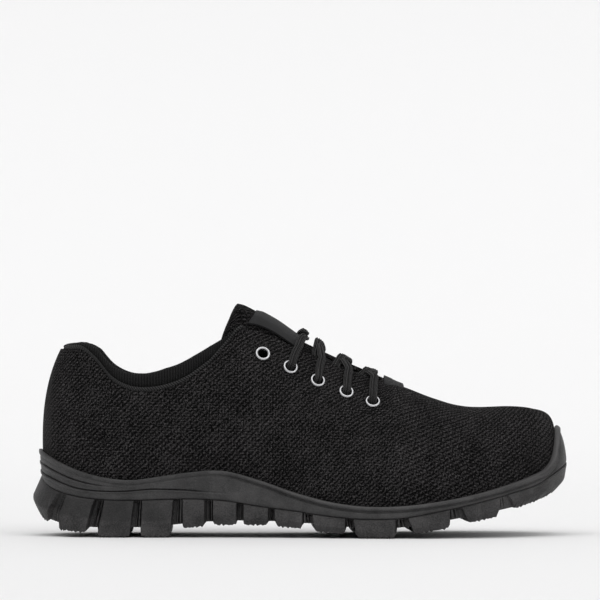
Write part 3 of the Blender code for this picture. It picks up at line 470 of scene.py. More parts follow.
def over_tongue(x, y, lift):
    """A place above the tongue's front at a plan position, and the way up from it."""
    shares = np.linspace(0, 1, 60)
    along = [tongue_frame(share)[0][0] for share in shares]
    target = x
    for _ in range(4):
        share = float(np.interp(target, along, shares))
        centre, out = tongue_frame(share)
        radius = BALL_WIDTH * TONGUE.at("radius", share)
        turn = math.asin(np.clip((y - centre[1]) / (radius + lift), -0.95, 0.95))
        place = tongue_point(share, math.degrees(turn), -lift)
        target += x - place[0]
    return place, unit(place - (centre - out * radius))


print("tongue top at", np.round(tongue_frame(0.0)[0] * 1000, 1), "mm")

# %% Route of the lace
LACE_WIDTH = 0.0047
LACE_THICKNESS = 0.0028
LACE_LIFT = LACE_THICKNESS / 2 + GAP
HOLE_DEPTH = WALL + 0.0012
OVER_LIFT = 0.0012


def strap(number, side):
    """One visible strap, from inside its eyelet to the far side of the throat."""
    eyelet, edge_run, far_run, stop = CROSSINGS[number - 1]
    run, inset = EYELETS[eyelet - 1]
    point, normal = EYELET_PLACES[eyelet, side]
    edge_point, edge_way = skin_at(edge_run, side, 0.0002)
    rise = unit(edge_point - point)
    route = [
        (point - normal * HOLE_DEPTH, None),
        (point - normal * 0.0004 + rise * 0.0006, None),
        (point + normal * 0.0016 + rise * 0.0018, None),
    ]
    start = inset - 0.0050
    for share in (0.0, 0.25, 0.5, 0.75, 1.0):
        below = start * (1 - share)
        column = run + (edge_run - run) * (inset - below) / inset
        place, way = skin_at(column, side, below)
        route.append((place + way * (LACE_LIFT + 0.0002), way))
    edge = route[-1][0]
    gate = top_point(np.array([far_run]), -side)[0]
    end, _ = over_tongue(gate[0], gate[1] + side * (WALL + 0.0006), LACE_LIFT)
    shares = np.linspace(0, 1, 13)[1:]
    line = [edge + (end - edge) * share for share in shares]
    under = [over_tongue(place[0], place[1], LACE_LIFT) for place in line]
    swell = [
        (below[2] - place[2]) / (4 * share * (1 - share))
        for share, place, (below, _) in zip(shares[:-1], line, under)
    ]
    rise_up = max(max(swell), 0)
    for share, place, (_, way) in zip(shares, line, under):
        if share <= stop:
            bump = OVER_LIFT * math.exp(-(((share - 0.5) / 0.16) ** 2)) if side > 0 else 0
            lifted = place + UP * (rise_up * 4 * share * (1 - share) + bump)
            route.append((lifted, unit(way + edge_way * max(1 - share * 3, 0))))
    return route


def inner_leg(number, side):
    """The hidden way from under the throat's edge down to the inside of the next eyelet."""
    eyelet = CROSSINGS[number - 2][0]
    point, normal = EYELET_PLACES[eyelet, side]
    top, way = skin_at(EYELETS[eyelet - 1][0], side, 0.006)
    inside = WALL + LACE_THICKNESS
    return [(top - way * inside, way), (point - normal * (inside + 0.0012) + UP * 0.004, normal)]


def lace_route():
    route = list(reversed(strap(1, -1)))
    for number, side in ((2, 1), (3, -1), (4, 1)):
        route += reversed(inner_leg(number, -side))
        route += reversed(strap(number, side))
    low = EYELET_PLACES[5, 1][0]
    for turn in (0.62, 0.3, 0.0, -0.3, -0.62):
        place, way = over_tongue(low[0] - 0.001, BALL_WIDTH * (TONGUE_CENTRE + 0.2 * turn), 0.0012)
        route.append((place, way))
    for number, side in ((4, -1), (3, 1), (2, -1)):
        route += strap(number, side)
        route += inner_leg(number, -side)
    return route + strap(1, 1)


ROUTE = lace_route()
print("lace route:", len(ROUTE), "stops")


# %% [markdown]
# ## Helpers for pieces and materials
# A cloth skin starts as a plain grid whose vertices are moved onto a table of places. Its UV
# map is in metres along both ways, so that a weave keeps its real pitch wherever it lies.


# %% Skins from grids, and new pieces
def skin_grid(points, uv=None):
    """A grid whose vertices are moved onto a table of places, with an own UV map."""
    rows, columns = points.shape[:2]
    bm = bmesh.new()
    bmesh.ops.create_grid(bm, x_segments=rows - 1, y_segments=columns - 1, size=1.0)
    cells = {}
    for vert in bm.verts:
        i = round((vert.co.x + 1) / 2 * (rows - 1))
        j = round((vert.co.y + 1) / 2 * (columns - 1))
        cells[vert] = (i, j)
        vert.co = points[i, j]
    if uv is not None:
        layer = bm.loops.layers.uv.new("weave")
        for face in bm.faces:
            for loop in face.loops:
                loop[layer].uv = uv[cells[loop.vert]]
    return bm


def metre_uv(points):
    """Distances along both ways of a table of places."""
    along = np.linalg.norm(np.diff(points, axis=0), axis=2).mean(axis=1)
    up = np.linalg.norm(np.diff(points, axis=1), axis=2)
    us = np.concatenate([[0], np.cumsum(along)])
    vs = np.concatenate([np.zeros((len(points), 1)), np.cumsum(up, axis=1)], axis=1)
    return np.stack([us[:, None] + vs * 0, vs], axis=-1)


def mesh_object(name, bm, finish):
    """A smooth mesh with one finish, linked to the scene."""
    mesh = bpy.data.meshes.new(name)
    bm.to_mesh(mesh)
    bm.free()
    mesh.materials.append(finish)
    mesh.shade_smooth()
    made = bpy.data.objects.new(name, mesh)
    bpy.context.scene.collection.objects.link(made)
    return made


def add_piece(name, bm, finish, slot, *nodes, sharp=60.0):
    """The mesh becomes a piece of the shoe that stands for these solids."""
    piece = mesh_object(name, bm, finish)
    piece.data.set_sharp_from_angle(angle=math.radians(sharp))
    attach(piece, "root")
    if nodes:
        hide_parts(*nodes)
    print(name, len(piece.data.polygons), "faces")
    return piece


# %% A small helper for node materials
class Finish:
    """A material whose nodes are added one line at a time."""

    def __init__(self, name, colour, roughness, metallic=0.0, sheen=0.0, gloss=0.5):
        self.material = bpy.data.materials.new(name)
        self.material.use_nodes = True
        self.tree = self.material.node_tree
        self.shader = self.tree.nodes["Principled BSDF"]
        self.shader.inputs["Base Color"].default_value = (*colour, 1.0)
        self.shader.inputs["Roughness"].default_value = roughness
        self.shader.inputs["Metallic"].default_value = metallic
        self.shader.inputs["Sheen Weight"].default_value = sheen
        self.shader.inputs["Sheen Roughness"].default_value = 0.5
        self.shader.inputs["Specular IOR Level"].default_value = gloss

    def add(self, kind, **settings):
        made = self.tree.nodes.new(kind)
        for name, value in settings.items():
            setattr(made, name, value)
        return made

    def feed(self, source, socket):
        if isinstance(source, (int, float)):
            socket.default_value = source
        else:
            self.tree.links.new(source, socket)

    def calc(self, operation, first, second=0.0):
        made = self.add("ShaderNodeMath", operation=operation)
        self.feed(first, made.inputs[0])
        self.feed(second, made.inputs[1])
        return made.outputs[0]

    def ripples(self, value, pitch, shape="SINE"):
        """Waves of a given pitch along a coordinate."""
        return self.calc(shape, self.calc("MULTIPLY", value, 2 * math.pi / pitch))

    def coordinates(self, kind="Object", turn=0.0):
        """Object coordinates, or the piece's own UV map in metres, split into axes."""
        if kind == "UV":
            source = self.add("ShaderNodeUVMap", uv_map="weave").outputs["UV"]
        else:
            source = self.add("ShaderNodeTexCoord").outputs["Object"]
        mapping = self.add("ShaderNodeMapping")
        mapping.inputs["Rotation"].default_value[2] = math.radians(turn)
        self.feed(source, mapping.inputs["Vector"])
        split = self.add("ShaderNodeSeparateXYZ")
        self.feed(mapping.outputs["Vector"], split.inputs[0])
        return mapping.outputs["Vector"], split.outputs

    def noise(self, vector, scale, detail=3.0, roughness=0.6):
        made = self.add("ShaderNodeTexNoise")
        made.inputs["Scale"].default_value = scale
        made.inputs["Detail"].default_value = detail
        made.inputs["Roughness"].default_value = roughness
        self.feed(vector, made.inputs["Vector"])
        return made.outputs["Fac"]

    def spread(self, value, low, high, new_low, new_high):
        made = self.add("ShaderNodeMapRange")
        for k, bound in enumerate((low, high, new_low, new_high), 1):
            made.inputs[k].default_value = bound
        self.feed(value, made.inputs[0])
        return made.outputs[0]

    def colour(self, value, low, high):
        """The base colour runs between two colours."""
        made = self.add("ShaderNodeMix", data_type="RGBA")
        made.inputs["A"].default_value = (*low, 1.0)
        made.inputs["B"].default_value = (*high, 1.0)
        self.feed(value, made.inputs["Factor"])
        self.feed(made.outputs["Result"], self.shader.inputs["Base Color"])

    def bump(self, value, distance, strength=1.0):
        made = self.add("ShaderNodeBump")
        made.inputs["Distance"].default_value = distance
        made.inputs["Strength"].default_value = strength
        self.feed(value, made.inputs["Height"])
        self.feed(made.outputs["Normal"], self.shader.inputs["Normal"])


# %% [markdown]
# ## Knit
# The upper's knit shows fine diagonal rows about 2 mm apart, broken up by the stitches along
# them. One sine wave gives the rows, a second one across it gives the stitches, and a fine
# noise gives the yarn. The heel has a smoother strip, which the object's X picks out.

# %% Knit finish
KNIT_PITCH = 0.0021


def knit_finish(name, dark, light, pitch, turn=-52.0, relief=0.0006):
    finish = Finish(name, light, 0.9, sheen=0.01, gloss=0.06)
    place, (x, _, _) = finish.coordinates("Object")
    _, (u, v, _) = finish.coordinates("UV", turn)
    drift = finish.noise(place, 420.0, 2.0)
    shift = finish.spread(drift, 0.3, 0.7, -0.00025, 0.00025)
    across = finish.ripples(finish.calc("ADD", u, shift), pitch)
    along = finish.ripples(finish.calc("SUBTRACT", v, shift), pitch / 0.8)
    rib = finish.calc("MULTIPLY", across, 0.7)
    stitches = finish.calc("MULTIPLY", finish.calc("MULTIPLY", across, along), 0.7)
    lattice = finish.calc("ADD", rib, stitches)
    yarn = finish.noise(place, 1500.0, 1.0)
    patches = finish.noise(place, 60.0, 3.0)
    rough = finish.calc("ADD", lattice, finish.spread(yarn, 0.32, 0.68, -1.3, 1.3))
    rough = finish.calc("ADD", rough, finish.spread(patches, 0.3, 0.7, -0.35, 0.35))
    strip = finish.spread(x, HEEL_X + 0.004, HEEL_X + 0.008, 0.25, 1.0)
    woven = finish.calc("MULTIPLY", rough, strip)
    finish.colour(finish.spread(woven, -0.6, 2.4, 0.0, 1.0), dark, light)
    finish.bump(woven, relief)
    return finish.material


KNIT = knit_finish("knit", (0.0002, 0.0002, 0.0002), (0.1030, 0.0970, 0.0990), KNIT_PITCH)

# %% [markdown]
# ## Upper
# The outside is one soft skin on the last's sections. Creases are gentle troughs given in a
# table. The skin is opened at each eyelet, and Solidify then gives it the cloth's thickness.

# %% Upper skin
UPPER_RUNS = 300
UPPER_ROWS = 76
BORE_REACH = 0.0034
RIDGE_END_REACH = 0.005
# Soft troughs and ridges: side, run, share up, half length in runs, half height in shares,
# lean, depth in metres; a ridge has a negative depth
CREASES = [
    (-1, 0.700, 0.62, 0.020, 0.30, 0.040, 0.0007),
    (-1, 0.735, 0.66, 0.018, 0.26, 0.040, -0.0004),
    (1, 0.700, 0.60, 0.020, 0.30, 0.040, 0.0008),
    (1, 0.735, 0.64, 0.018, 0.26, 0.040, -0.0005),
    (-1, 0.330, 0.42, 0.060, 0.10, 0.000, 0.0008),
    (1, 0.330, 0.42, 0.060, 0.10, 0.000, 0.0009),
    (-1, 0.200, 0.55, 0.050, 0.12, 0.000, -0.0005),
    (1, 0.200, 0.55, 0.050, 0.12, 0.000, -0.0005),
    (-1, 0.470, 0.45, 0.040, 0.20, 0.030, 0.0006),
    (1, 0.480, 0.45, 0.040, 0.20, 0.030, 0.0007),
]


def crease_depth(runs, side, shares):
    total = np.zeros((len(runs), len(shares)))
    for crease_side, run, share, half_run, half_share, lean, depth in CREASES:
        if crease_side == side:
            away_up = (shares[None, :] - share) / half_share
            away = (runs[:, None] - run - lean * (shares[None, :] - share)) / half_run
            total += depth * np.exp(-(away**2) - away_up**2)
    return total


def flat_cloth(runs, points, side):
    """Places on the cloth in metres: round the foot half way up, and down from the ridge.
    Behind the throat's end the rows stay level instead of following the collar."""
    steps = np.linalg.norm(np.diff(points[:, ::-1], axis=1), axis=2)
    down = np.concatenate([np.zeros((len(points), 1)), np.cumsum(steps, axis=1)], axis=1)
    level = down[:, -1] + points[:, 0, 2]
    base = int(np.searchsorted(runs, THROAT_BASE_RUN))
    raised = np.where(runs < THROAT_BASE_RUN, level[base] - level, 0)
    middle = points[:, points.shape[1] // 2]
    walked = np.concatenate([[0], np.cumsum(np.linalg.norm(np.diff(middle, axis=0), axis=1))])
    below = raised[:, None] + down[:, ::-1]
    return np.stack([walked[:, None] + below * 0, below * -side], axis=-1)


def upper_half(side):
    runs = np.linspace(0, 1, UPPER_RUNS)
    runs[np.abs(runs - THROAT_BASE_RUN).argmin()] = THROAT_BASE_RUN
    shares = np.linspace(0, 1, UPPER_ROWS)
    points = upper_surface(runs, side, shares)
    ways = grid_normals(points, side)
    ways[:, -1] = ways[:, -2]
    soft = crease_depth(runs, side, shares)
    soft[:, -1] = 0
    soft[(0, -1), :] = 0
    points = points - ways * soft[:, :, None]
    return skin_grid(points, flat_cloth(runs, points, side))


def open_holes(bm, reach):
    """Faces whose middle lies in an eyelet's bore are taken out."""
    doomed = set()
    for point, _ in EYELET_PLACES.values():
        place = Vector(point)
        doomed |= {f for f in bm.faces if (f.calc_center_median() - place).length < reach}
    bmesh.ops.delete(bm, geom=list(doomed), context="FACES")


upper_bm = bmesh.new()
for half_side in (-1, 1):
    half = upper_half(half_side)
    if half_side < 0:
        bmesh.ops.reverse_faces(half, faces=half.faces)
    half_mesh = bpy.data.meshes.new("half")
    half.to_mesh(half_mesh)
    half.free()
    upper_bm.from_mesh(half_mesh)
    bpy.data.meshes.remove(half_mesh)
bmesh.ops.remove_doubles(upper_bm, verts=upper_bm.verts, dist=0.00002)
ridge_end = Vector(top_point(np.array([1.0]), -1)[0])
for _ in range(6):
    near = [vert for vert in upper_bm.verts if (vert.co - ridge_end).length < RIDGE_END_REACH]
    bmesh.ops.smooth_vert(
        upper_bm, verts=near, factor=0.5, use_axis_x=True, use_axis_y=True, use_axis_z=True,
    )
open_holes(upper_bm, BORE_REACH)
bmesh.ops.recalc_face_normals(upper_bm, faces=upper_bm.faces)
heel_face = min(upper_bm.faces, key=lambda face: face.calc_center_median().x)
if heel_face.normal.x > 0:
    bmesh.ops.reverse_faces(upper_bm, faces=upper_bm.faces)
upper = add_piece("upper_skin", upper_bm, KNIT, "knit", "upper")
wall = upper.modifiers.new("wall", "SOLIDIFY")
wall.thickness = WALL
wall.offset = -1.0

# %% [markdown]
# ## Rings round the sole
# Sole pieces go round the whole outline, so their table starts at the heel, runs along the
# outer side to the toe and comes back on the inner side. The first and last rows meet on the
# centre line, which closes the skin above and below.

# %% Closed skins round the shoe
RING_RUNS = (1 - np.cos(np.linspace(0, math.pi, 240))) / 2 * 0.55 + np.linspace(0, 1, 240) * 0.45


def around(sections, ring_runs=RING_RUNS, depths=None):
    """A closed skin from the sections of both sides, in a fresh mesh."""
    outer, inner = sections(ring_runs, -1), sections(ring_runs, 1)
    middle = (outer + inner) / 2
    halves = [
        np.concatenate([middle[:, :1], half, middle[:, -1:]], axis=1) for half in (outer, inner)
    ]
    points = np.concatenate([halves[0], halves[1][-2:0:-1], halves[0][:1]])
    uv = metre_uv(points)
    if depths is not None:
        uv[..., 1] = np.concatenate([depths[:1], depths, depths[-1:]])
    bm = skin_grid(points, uv)
    bmesh.ops.remove_doubles(bm, verts=bm.verts, dist=0.00001)
    bmesh.ops.recalc_face_normals(bm, faces=bm.faces)
    return bm


def skin_at_levels(runs, side, levels):
    """Places on the outside of the upper at given heights."""
    points = upper_surface(runs, side, np.linspace(0, 1, 161))
    found = np.empty((*levels.shape, 3))
    for i, section in enumerate(points):
        top = int(section[:, 2].argmax()) + 1
        for k in range(3):
            found[i, :, k] = np.interp(levels[i], section[:top, 2], section[:top, k])
    return found


# %% [markdown]
# ## Midsole
# The midsole is one moulded foam cup. Its side leans in, two bands wrap the heel with a
# small step at their top, and a thin bead runs along the upper edge. The foam skin has a
# fine stipple with a soft shine, and the bead's line from the middle to the toe is painted
# lighter as a painted highlight.

# %% Midsole finish
FOAM = Finish("midsole_foam", (0.02, 0.02, 0.02), 0.52, gloss=0.45)
foam_place, (foam_x, _, _) = FOAM.coordinates()
foam_grain = FOAM.noise(foam_place, 1900.0, 2.0)
foam_tone = FOAM.noise(foam_place, 90.0, 3.0)
foam_mix = FOAM.calc("ADD", FOAM.calc("MULTIPLY", foam_grain, 1.2), foam_tone)
_, (_, foam_share, _) = FOAM.coordinates("UV")
# Painted highlight: the top rows of the foam, from the middle of the shoe to the toe, are painted
# lighter along the bead.
bead_highlight_band = FOAM.spread(foam_share, 0.90, 0.97, 0.0, 1.0)
painted_bead_highlight = FOAM.calc("MULTIPLY", bead_highlight_band, FOAM.spread(foam_x, -0.03, 0.03, 0.0, 1.0))
foam_stipple = FOAM.spread(foam_mix, 0.85, 1.35, 0.0, 0.7)
foam_stipple_and_highlight = FOAM.calc("ADD", foam_stipple, FOAM.calc("MULTIPLY", painted_bead_highlight, 1.2))
FOAM.colour(foam_stipple_and_highlight, (0.0100, 0.0098, 0.0100), (0.0580, 0.0560, 0.0565))
FOAM.bump(foam_grain, 0.0004, 0.9)

# %% Midsole skin
SIDE_CURVE = 1.6
GROOVE_DEPTH = 0.0009
HEEL_STEP = 0.0006
BEAD_RADIUS = 0.0012
# At the toe the top edge leans in and stands a little higher, over this depth
TOE_LEAN = 0.0011
TOE_RISE = 0.0006
TOE_DEPTH = 0.004
SIDE_SHARES = np.linspace(0, 1, 110) ** 0.95


def bead_and_dip(below, runs):
    """The bead at the top edge, and the shallow line under it."""
    strength = np.clip((runs - 0.28) / 0.12, 0.35, 1)[:, None]
    bead = np.sqrt(np.maximum(BEAD_RADIUS**2 - (below - BEAD_RADIUS) ** 2, 0))
    dip = 0.0005 * np.exp(-(((below - 2.5 * BEAD_RADIUS) / 0.0005) ** 2))
    return (bead - dip) * strength


def heel_steps(runs, part):
    """Each heel band ends in a thin line with a raised lower edge."""
    stand = np.zeros((len(runs), part.shape[1]))
    for name in ("lower", "higher"):
        place = HEEL_BANDS.at(name, runs)[:, None]
        depth = HEEL_STEP * np.maximum(HEEL_BANDS.at(name + "_depth", runs), 0)[:, None]
        swell = np.exp(-(((part - place + 0.05) / 0.05) ** 2))
        line = np.exp(-(((part - place - 0.01) / 0.022) ** 2))
        stand += depth * (0.8 * swell - 1.9 * line)
    return stand


def groove_share(runs):
    """The groove at the parting line closes towards the toe."""
    return 1 - np.clip((runs - 0.90) / 0.06, 0, 1)[:, None]


def midsole_sections(runs, side):
    out = outward(runs, side)[:, None, :]
    base = outline_point(runs, side)[:, None, :]
    low = height("parting", runs)[:, None] + GAP
    high, bed = (height(name, runs)[:, None] for name in ("feather", "bed"))
    part = np.broadcast_to(SIDE_SHARES, (len(runs), len(SIDE_SHARES)))
    z = low + (high - low) * part
    skin = skin_at_levels(runs, side, np.maximum(z, bed))
    bulge = np.maximum(((skin - base) * out).sum(axis=-1), 0) * part
    leaned = part**SIDE_CURVE
    edge, rim = (reach_out(name, runs)[:, None] for name in ("edge", "rim"))
    corner = 0.0008 * np.exp(-(z - low) / 0.0007)
    stand = heel_steps(runs, part) + bead_and_dip(high - z, runs) - corner
    reach = bulge + edge * (1 - leaned) + rim * leaned + stand
    toe = np.clip((runs[:, None] - 0.90) / 0.08, 0, 1) * np.exp(-(high - z) / TOE_DEPTH)
    side_rows = base + out * (reach - TOE_LEAN * toe)[..., None] + UP * (z + TOE_RISE * toe)[..., None]
    core = base + out * (reach_out("core", runs)[:, None, None]) + UP * low[..., None]
    seat = core * [1, 1, 0] + UP * height("seat", runs)[:, None, None]
    groove = base + out * (edge - GROOVE_DEPTH * groove_share(runs))[..., None] + UP * low[..., None]
    levels = high + (bed - high) * np.linspace(0, 1, 7)[None, :]
    lip = skin_at_levels(runs, side, levels) + out * 0.0004
    return np.concatenate([seat, core, groove, side_rows, lip], axis=1)


midsole_shares = np.concatenate([[0, 0, 0, 0], SIDE_SHARES, np.full(8, 1.0)])
midsole_bm = around(midsole_sections, RING_RUNS, midsole_shares[1:-1])
add_piece("midsole_foam_cup", midsole_bm, FOAM.material, "midsole_foam", "midsole")

# %% [markdown]
# ## Outsole
# The rubber outsole is a wall under the parting line, cut by notches into lugs. Each column
# round the sole knows whether it lies in a lug or in a notch, so one skin with close columns
# at the notches gives sharp lugs, leaning gaps, the thin ribs in them and the worn, uneven
# tread edges. The upper half of the heel lugs has a smoother bump and is painted darker, a
# painted shade on their flared sides; the rest is stippled.

# %% Rubber finish
RUBBER = Finish("outsole_rubber", (0.02, 0.02, 0.02), 0.55, gloss=0.35)
rubber_place, (rubber_x, _, _) = RUBBER.coordinates()
_, (_, rubber_depth, _) = RUBBER.coordinates("UV")
rubber_grain = RUBBER.noise(rubber_place, 1500.0, 2.0)
rubber_tone = RUBBER.noise(rubber_place, 70.0, 3.0)
rubber_mix = RUBBER.calc("ADD", RUBBER.calc("MULTIPLY", rubber_grain, 1.1), rubber_tone)
# Painted shade: the upper part of the heel lugs, where their sides flare out, is painted darker; the
# same mask also smooths its bump.
rubber_heel = RUBBER.spread(rubber_x, -0.085, -0.050, 1.0, 0.0)
rubber_high = RUBBER.spread(rubber_depth, 0.52, 0.60, 1.0, 0.0)
rubber_smooth_shade_band = RUBBER.calc("MULTIPLY", rubber_heel, rubber_high)
rubber_level = RUBBER.spread(rubber_mix, 0.80, 1.30, 0.0, 1.0)
rubber_shade_and_smoothing = RUBBER.calc("SUBTRACT", 1.0, RUBBER.calc("MULTIPLY", rubber_smooth_shade_band, 0.55))
rubber_stipple_and_painted_shade = RUBBER.calc("MULTIPLY", rubber_level, rubber_shade_and_smoothing)
RUBBER.colour(rubber_stipple_and_painted_shade, (0.0080, 0.0078, 0.0080), (0.0560, 0.0535, 0.0540))
RUBBER.bump(RUBBER.calc("MULTIPLY", rubber_grain, rubber_shade_and_smoothing), 0.0005, 0.9)

# %% Lugs
# Lugs: runs where each starts and ends, tread height at both ends in shares of the wing
# height, and how far its ends lean along the run from the parting line to the tread
LUGS = [
    (0.000, 0.080, 0.350, 0.135, 0.000, -0.022),
    (0.094, 0.145, 0.088, 0.040, -0.014, -0.013),
    (0.159, 0.210, 0.000, 0.000, -0.010, -0.006),
    (0.222, 0.276, 0.000, 0.000, -0.002, -0.004),
    (0.290, 0.330, 0.125, 0.160, 0.000, 0.000),
    (0.341, 0.382, 0.177, 0.177, 0.000, 0.000),
    (0.392, 0.436, 0.177, 0.177, 0.000, 0.000),
    (0.445, 0.494, 0.160, 0.128, 0.002, 0.000),
    (0.510, 0.566, 0.085, 0.054, 0.003, 0.000),
    (0.578, 0.650, 0.000, 0.000, 0.005, 0.000),
    (0.668, 0.737, 0.044, 0.144, 0.008, 0.000),
    (0.755, 0.820, 0.200, 0.310, 0.008, -0.001),
    (0.835, 1.000, 0.387, 0.750, 0.011, 0.000),
]
LUG_EDGE = 0.0011
NOTCH_WALL = 0.0012
GROOVE_WIDTH = 0.0010
# Share of a lug's depth at which its side stands out most
FLARE_SHARE = 0.56
EDGE_LANE = 0.27
CENTRE_LANE = 0.34
SIDE_DEPTHS = np.array([0, 0.03, 0.12, 0.24, 0.36, 0.46, 0.53, 0.59, 0.64, 0.72, 0.82, 0.91, 0.96, 1.0])
TREAD_SHARES = np.concatenate([
    np.linspace(0.012, EDGE_LANE - 0.012, 8), [EDGE_LANE, EDGE_LANE + 0.012],
    [CENTRE_LANE - 0.012, CENTRE_LANE], np.linspace(CENTRE_LANE + 0.012, 0.49, 6),
])


def lug_runs():
    """Columns round the sole, close together where a notch lies at any depth."""
    fine, run = [0.0], 0.0
    while run < 1.0:
        step = 0.0030
        for (_, end, _, _, _, lean), (start, _, _, _, lead, _) in zip(LUGS, LUGS[1:]):
            if min(end, end + lean) - 0.003 < run < max(start, start + lead) + 0.003:
                step = 0.0009
        run = min(run + step, 1.0)
        fine.append(run)
    return np.array(fine)


def lug_share(runs, depth):
    """How much of a lug there is at each column and depth, and the tread level there."""
    total, level = np.zeros((len(runs), len(depth))), np.zeros((len(runs), len(depth)))
    at, down = runs[:, None], depth[None, :]
    uneven = 0.00035 * (np.sin(at * 870) + np.sin(at * 1430 + 1.0) * 0.8 + 1.6)
    for number, (start, end, rear, front, lead, lean) in enumerate(LUGS):
        first, last = start + lead * down, end + lean * down
        rise = np.clip((at - first) / LUG_EDGE, 0, 1) if number else 1.0
        fall = np.clip((last - at) / LUG_EDGE, 0, 1) if number < len(LUGS) - 1 else 1.0
        share = rise * fall
        along = np.clip((at - start) / (end - start), 0, 1)
        tread = WING_HEIGHT * (rear * (1 - along) + front * along) + uneven
        near = np.minimum(at - first if number else 9.0, last - at if number < len(LUGS) - 1 else 9.0)
        tread = tread + 0.0016 * np.clip(1 - near / 0.008, 0, 1) ** 2
        total += share
        level += share * tread
    return total, level / np.maximum(total, 1e-6)


def gap_ribs(runs, depth):
    """Thin ribs stand in each gap, on its toe side at the heel and on its heel side in front."""
    ribs = np.zeros((len(runs), len(depth)))
    at, down = runs[:, None], depth[None, :]
    for number, ((_, end, _, _, _, lean), (start, _, _, _, lead, _)) in enumerate(zip(LUGS, LUGS[1:])):
        low, high = end + lean * down, start + lead * down
        g = (at - low) / (high - low)
        g = g if number < 6 else 1 - g
        broad = np.clip(1 - np.abs(g - 0.86) / 0.14, 0, 1)
        thin = np.clip(1 - np.abs(g - 0.56) / 0.10, 0, 1)
        both = 0.72 * np.minimum(broad * 2.5, 1) + 0.5 * np.minimum(thin * 2.5, 1)
        ribs += np.where((g > 0) & (g < 1), both, 0)
    return ribs


def outsole_sections(runs, side):
    out = outward(runs, side)[:, None, :]
    base = outline_point(runs, side)[:, None, :]
    top, recess = (height(name, runs)[:, None] for name in ("parting", "recess"))
    edge, flare, foot, core = (
        reach_out(name, runs)[:, None] for name in ("edge", "flare", "foot", "core")
    )
    solid, tread = lug_share(runs, SIDE_DEPTHS)
    d = SIDE_DEPTHS[None, :]
    upper_part = np.clip(d / FLARE_SHARE, 0, 1)
    lower_part = np.clip((d - FLARE_SHARE) / (1 - FLARE_SHARE), 0, 1)
    stand = edge + (flare - edge) * upper_part + (foot - flare) * lower_part**1.2
    notch = core + GAP + NOTCH_WALL
    sunk = notch + np.maximum(stand - notch, 0) * gap_ribs(runs, SIDE_DEPTHS) * 0.9
    reach = sunk * (1 - solid) + stand * solid
    ceiling = top - GROOVE_WIDTH
    bottom = recess * (1 - solid) + tread * solid
    z = ceiling + (bottom - ceiling) * d
    side_rows = base + out * reach[..., None] + UP * z[..., None]
    lip = base + out * (edge - GROOVE_DEPTH * groove_share(runs))[..., None] + UP * top[..., None]
    inside = base + out * (core + GAP)[..., None] + UP * top[..., None]
    seat = inside * [1, 1, 0] + UP * (height("seat", runs)[:, None, None] - GAP)
    own, other = side_rows[:, -1:], outline_point(runs, -side)[:, None, :]
    other = other + outward(runs, -side)[:, None, :] * reach[:, -1:, None]
    share = TREAD_SHARES[None, :, None]
    full = solid[:, -1:] * ((runs < 0.085) | (runs > 0.826))[:, None]
    past_edge = np.clip((TREAD_SHARES - EDGE_LANE) / 0.012, 0, 1)
    in_lane = np.minimum(past_edge, np.clip((CENTRE_LANE - TREAD_SHARES) / 0.012, 0, 1))
    lane = np.maximum(1 - in_lane[None, :], full)
    level = recess + (tread[:, -1:] - recess) * solid[:, -1:] * lane
    under = own * (1 - share) + other * share
    under = under * [1, 1, 0] + UP * level[..., None]
    return np.concatenate([seat, inside, lip, side_rows, under], axis=1)


outsole_depths = np.concatenate([[0, 0, 0], SIDE_DEPTHS, 1 + TREAD_SHARES])
outsole_bm = around(outsole_sections, lug_runs(), outsole_depths)
add_piece("outsole_tread", outsole_bm, RUBBER.material, "outsole_rubber", "outsole", sharp=32)

# %% [markdown]
# ## Footbed
# A thin cloth-topped insole lies in the shoe. Its edge turns up a little against the upper.

# %% Footbed
CLOTH = Finish("footbed_cloth", (0.02, 0.02, 0.02), 0.95, sheen=0.03, gloss=0.2)
_, (cloth_x, cloth_y, _) = CLOTH.coordinates("Object")
cloth_rows, cloth_warp = (CLOTH.ripples(axis, 0.0011) for axis in (cloth_x, cloth_y))
cloth_weave = CLOTH.calc("MULTIPLY", cloth_rows, cloth_warp)
CLOTH.colour(CLOTH.spread(cloth_weave, -1.0, 1.0, 0.0, 1.0), (0.02, 0.02, 0.022), (0.06, 0.06, 0.065))
CLOTH.bump(cloth_weave, 0.0002, 0.7)
INSOLE_THICKNESS = 0.004


def insole_sections(runs, side):
    out = outward(runs, side)
    base = outline_point(runs, side) - out * (WALL + GAP * 3)
    low = UP * (height("bed", runs) + GAP)[:, None]
    rows = [base + low - out * 0.0006, base + low + UP * 0.0008]
    other = outline_point(runs, -side) - outward(runs, -side) * (WALL + GAP * 3)
    for share in (0.0, 0.02, 0.05, 0.09, 0.14, 0.20, 0.28, 0.38):
        cup = 0.0012 * math.exp(-share / 0.06) - 0.0006 * math.exp(-share / 0.008)
        rows.append(base + (other - base) * share + low + UP * (INSOLE_THICKNESS + cup - 0.0006))
    return np.stack(rows, axis=1)


add_piece("insole_sheet", around(insole_sections), CLOTH.material, "footbed_cloth", "insole")

# %% [markdown]
# ## Collar
# The collar is a padded roll that folds over the top line, with a rounded bead outside it.
# Both are swept: a closed section follows the top line from the outer front, round the heel,
# to the inner front, and the ends close in a rounded cap.


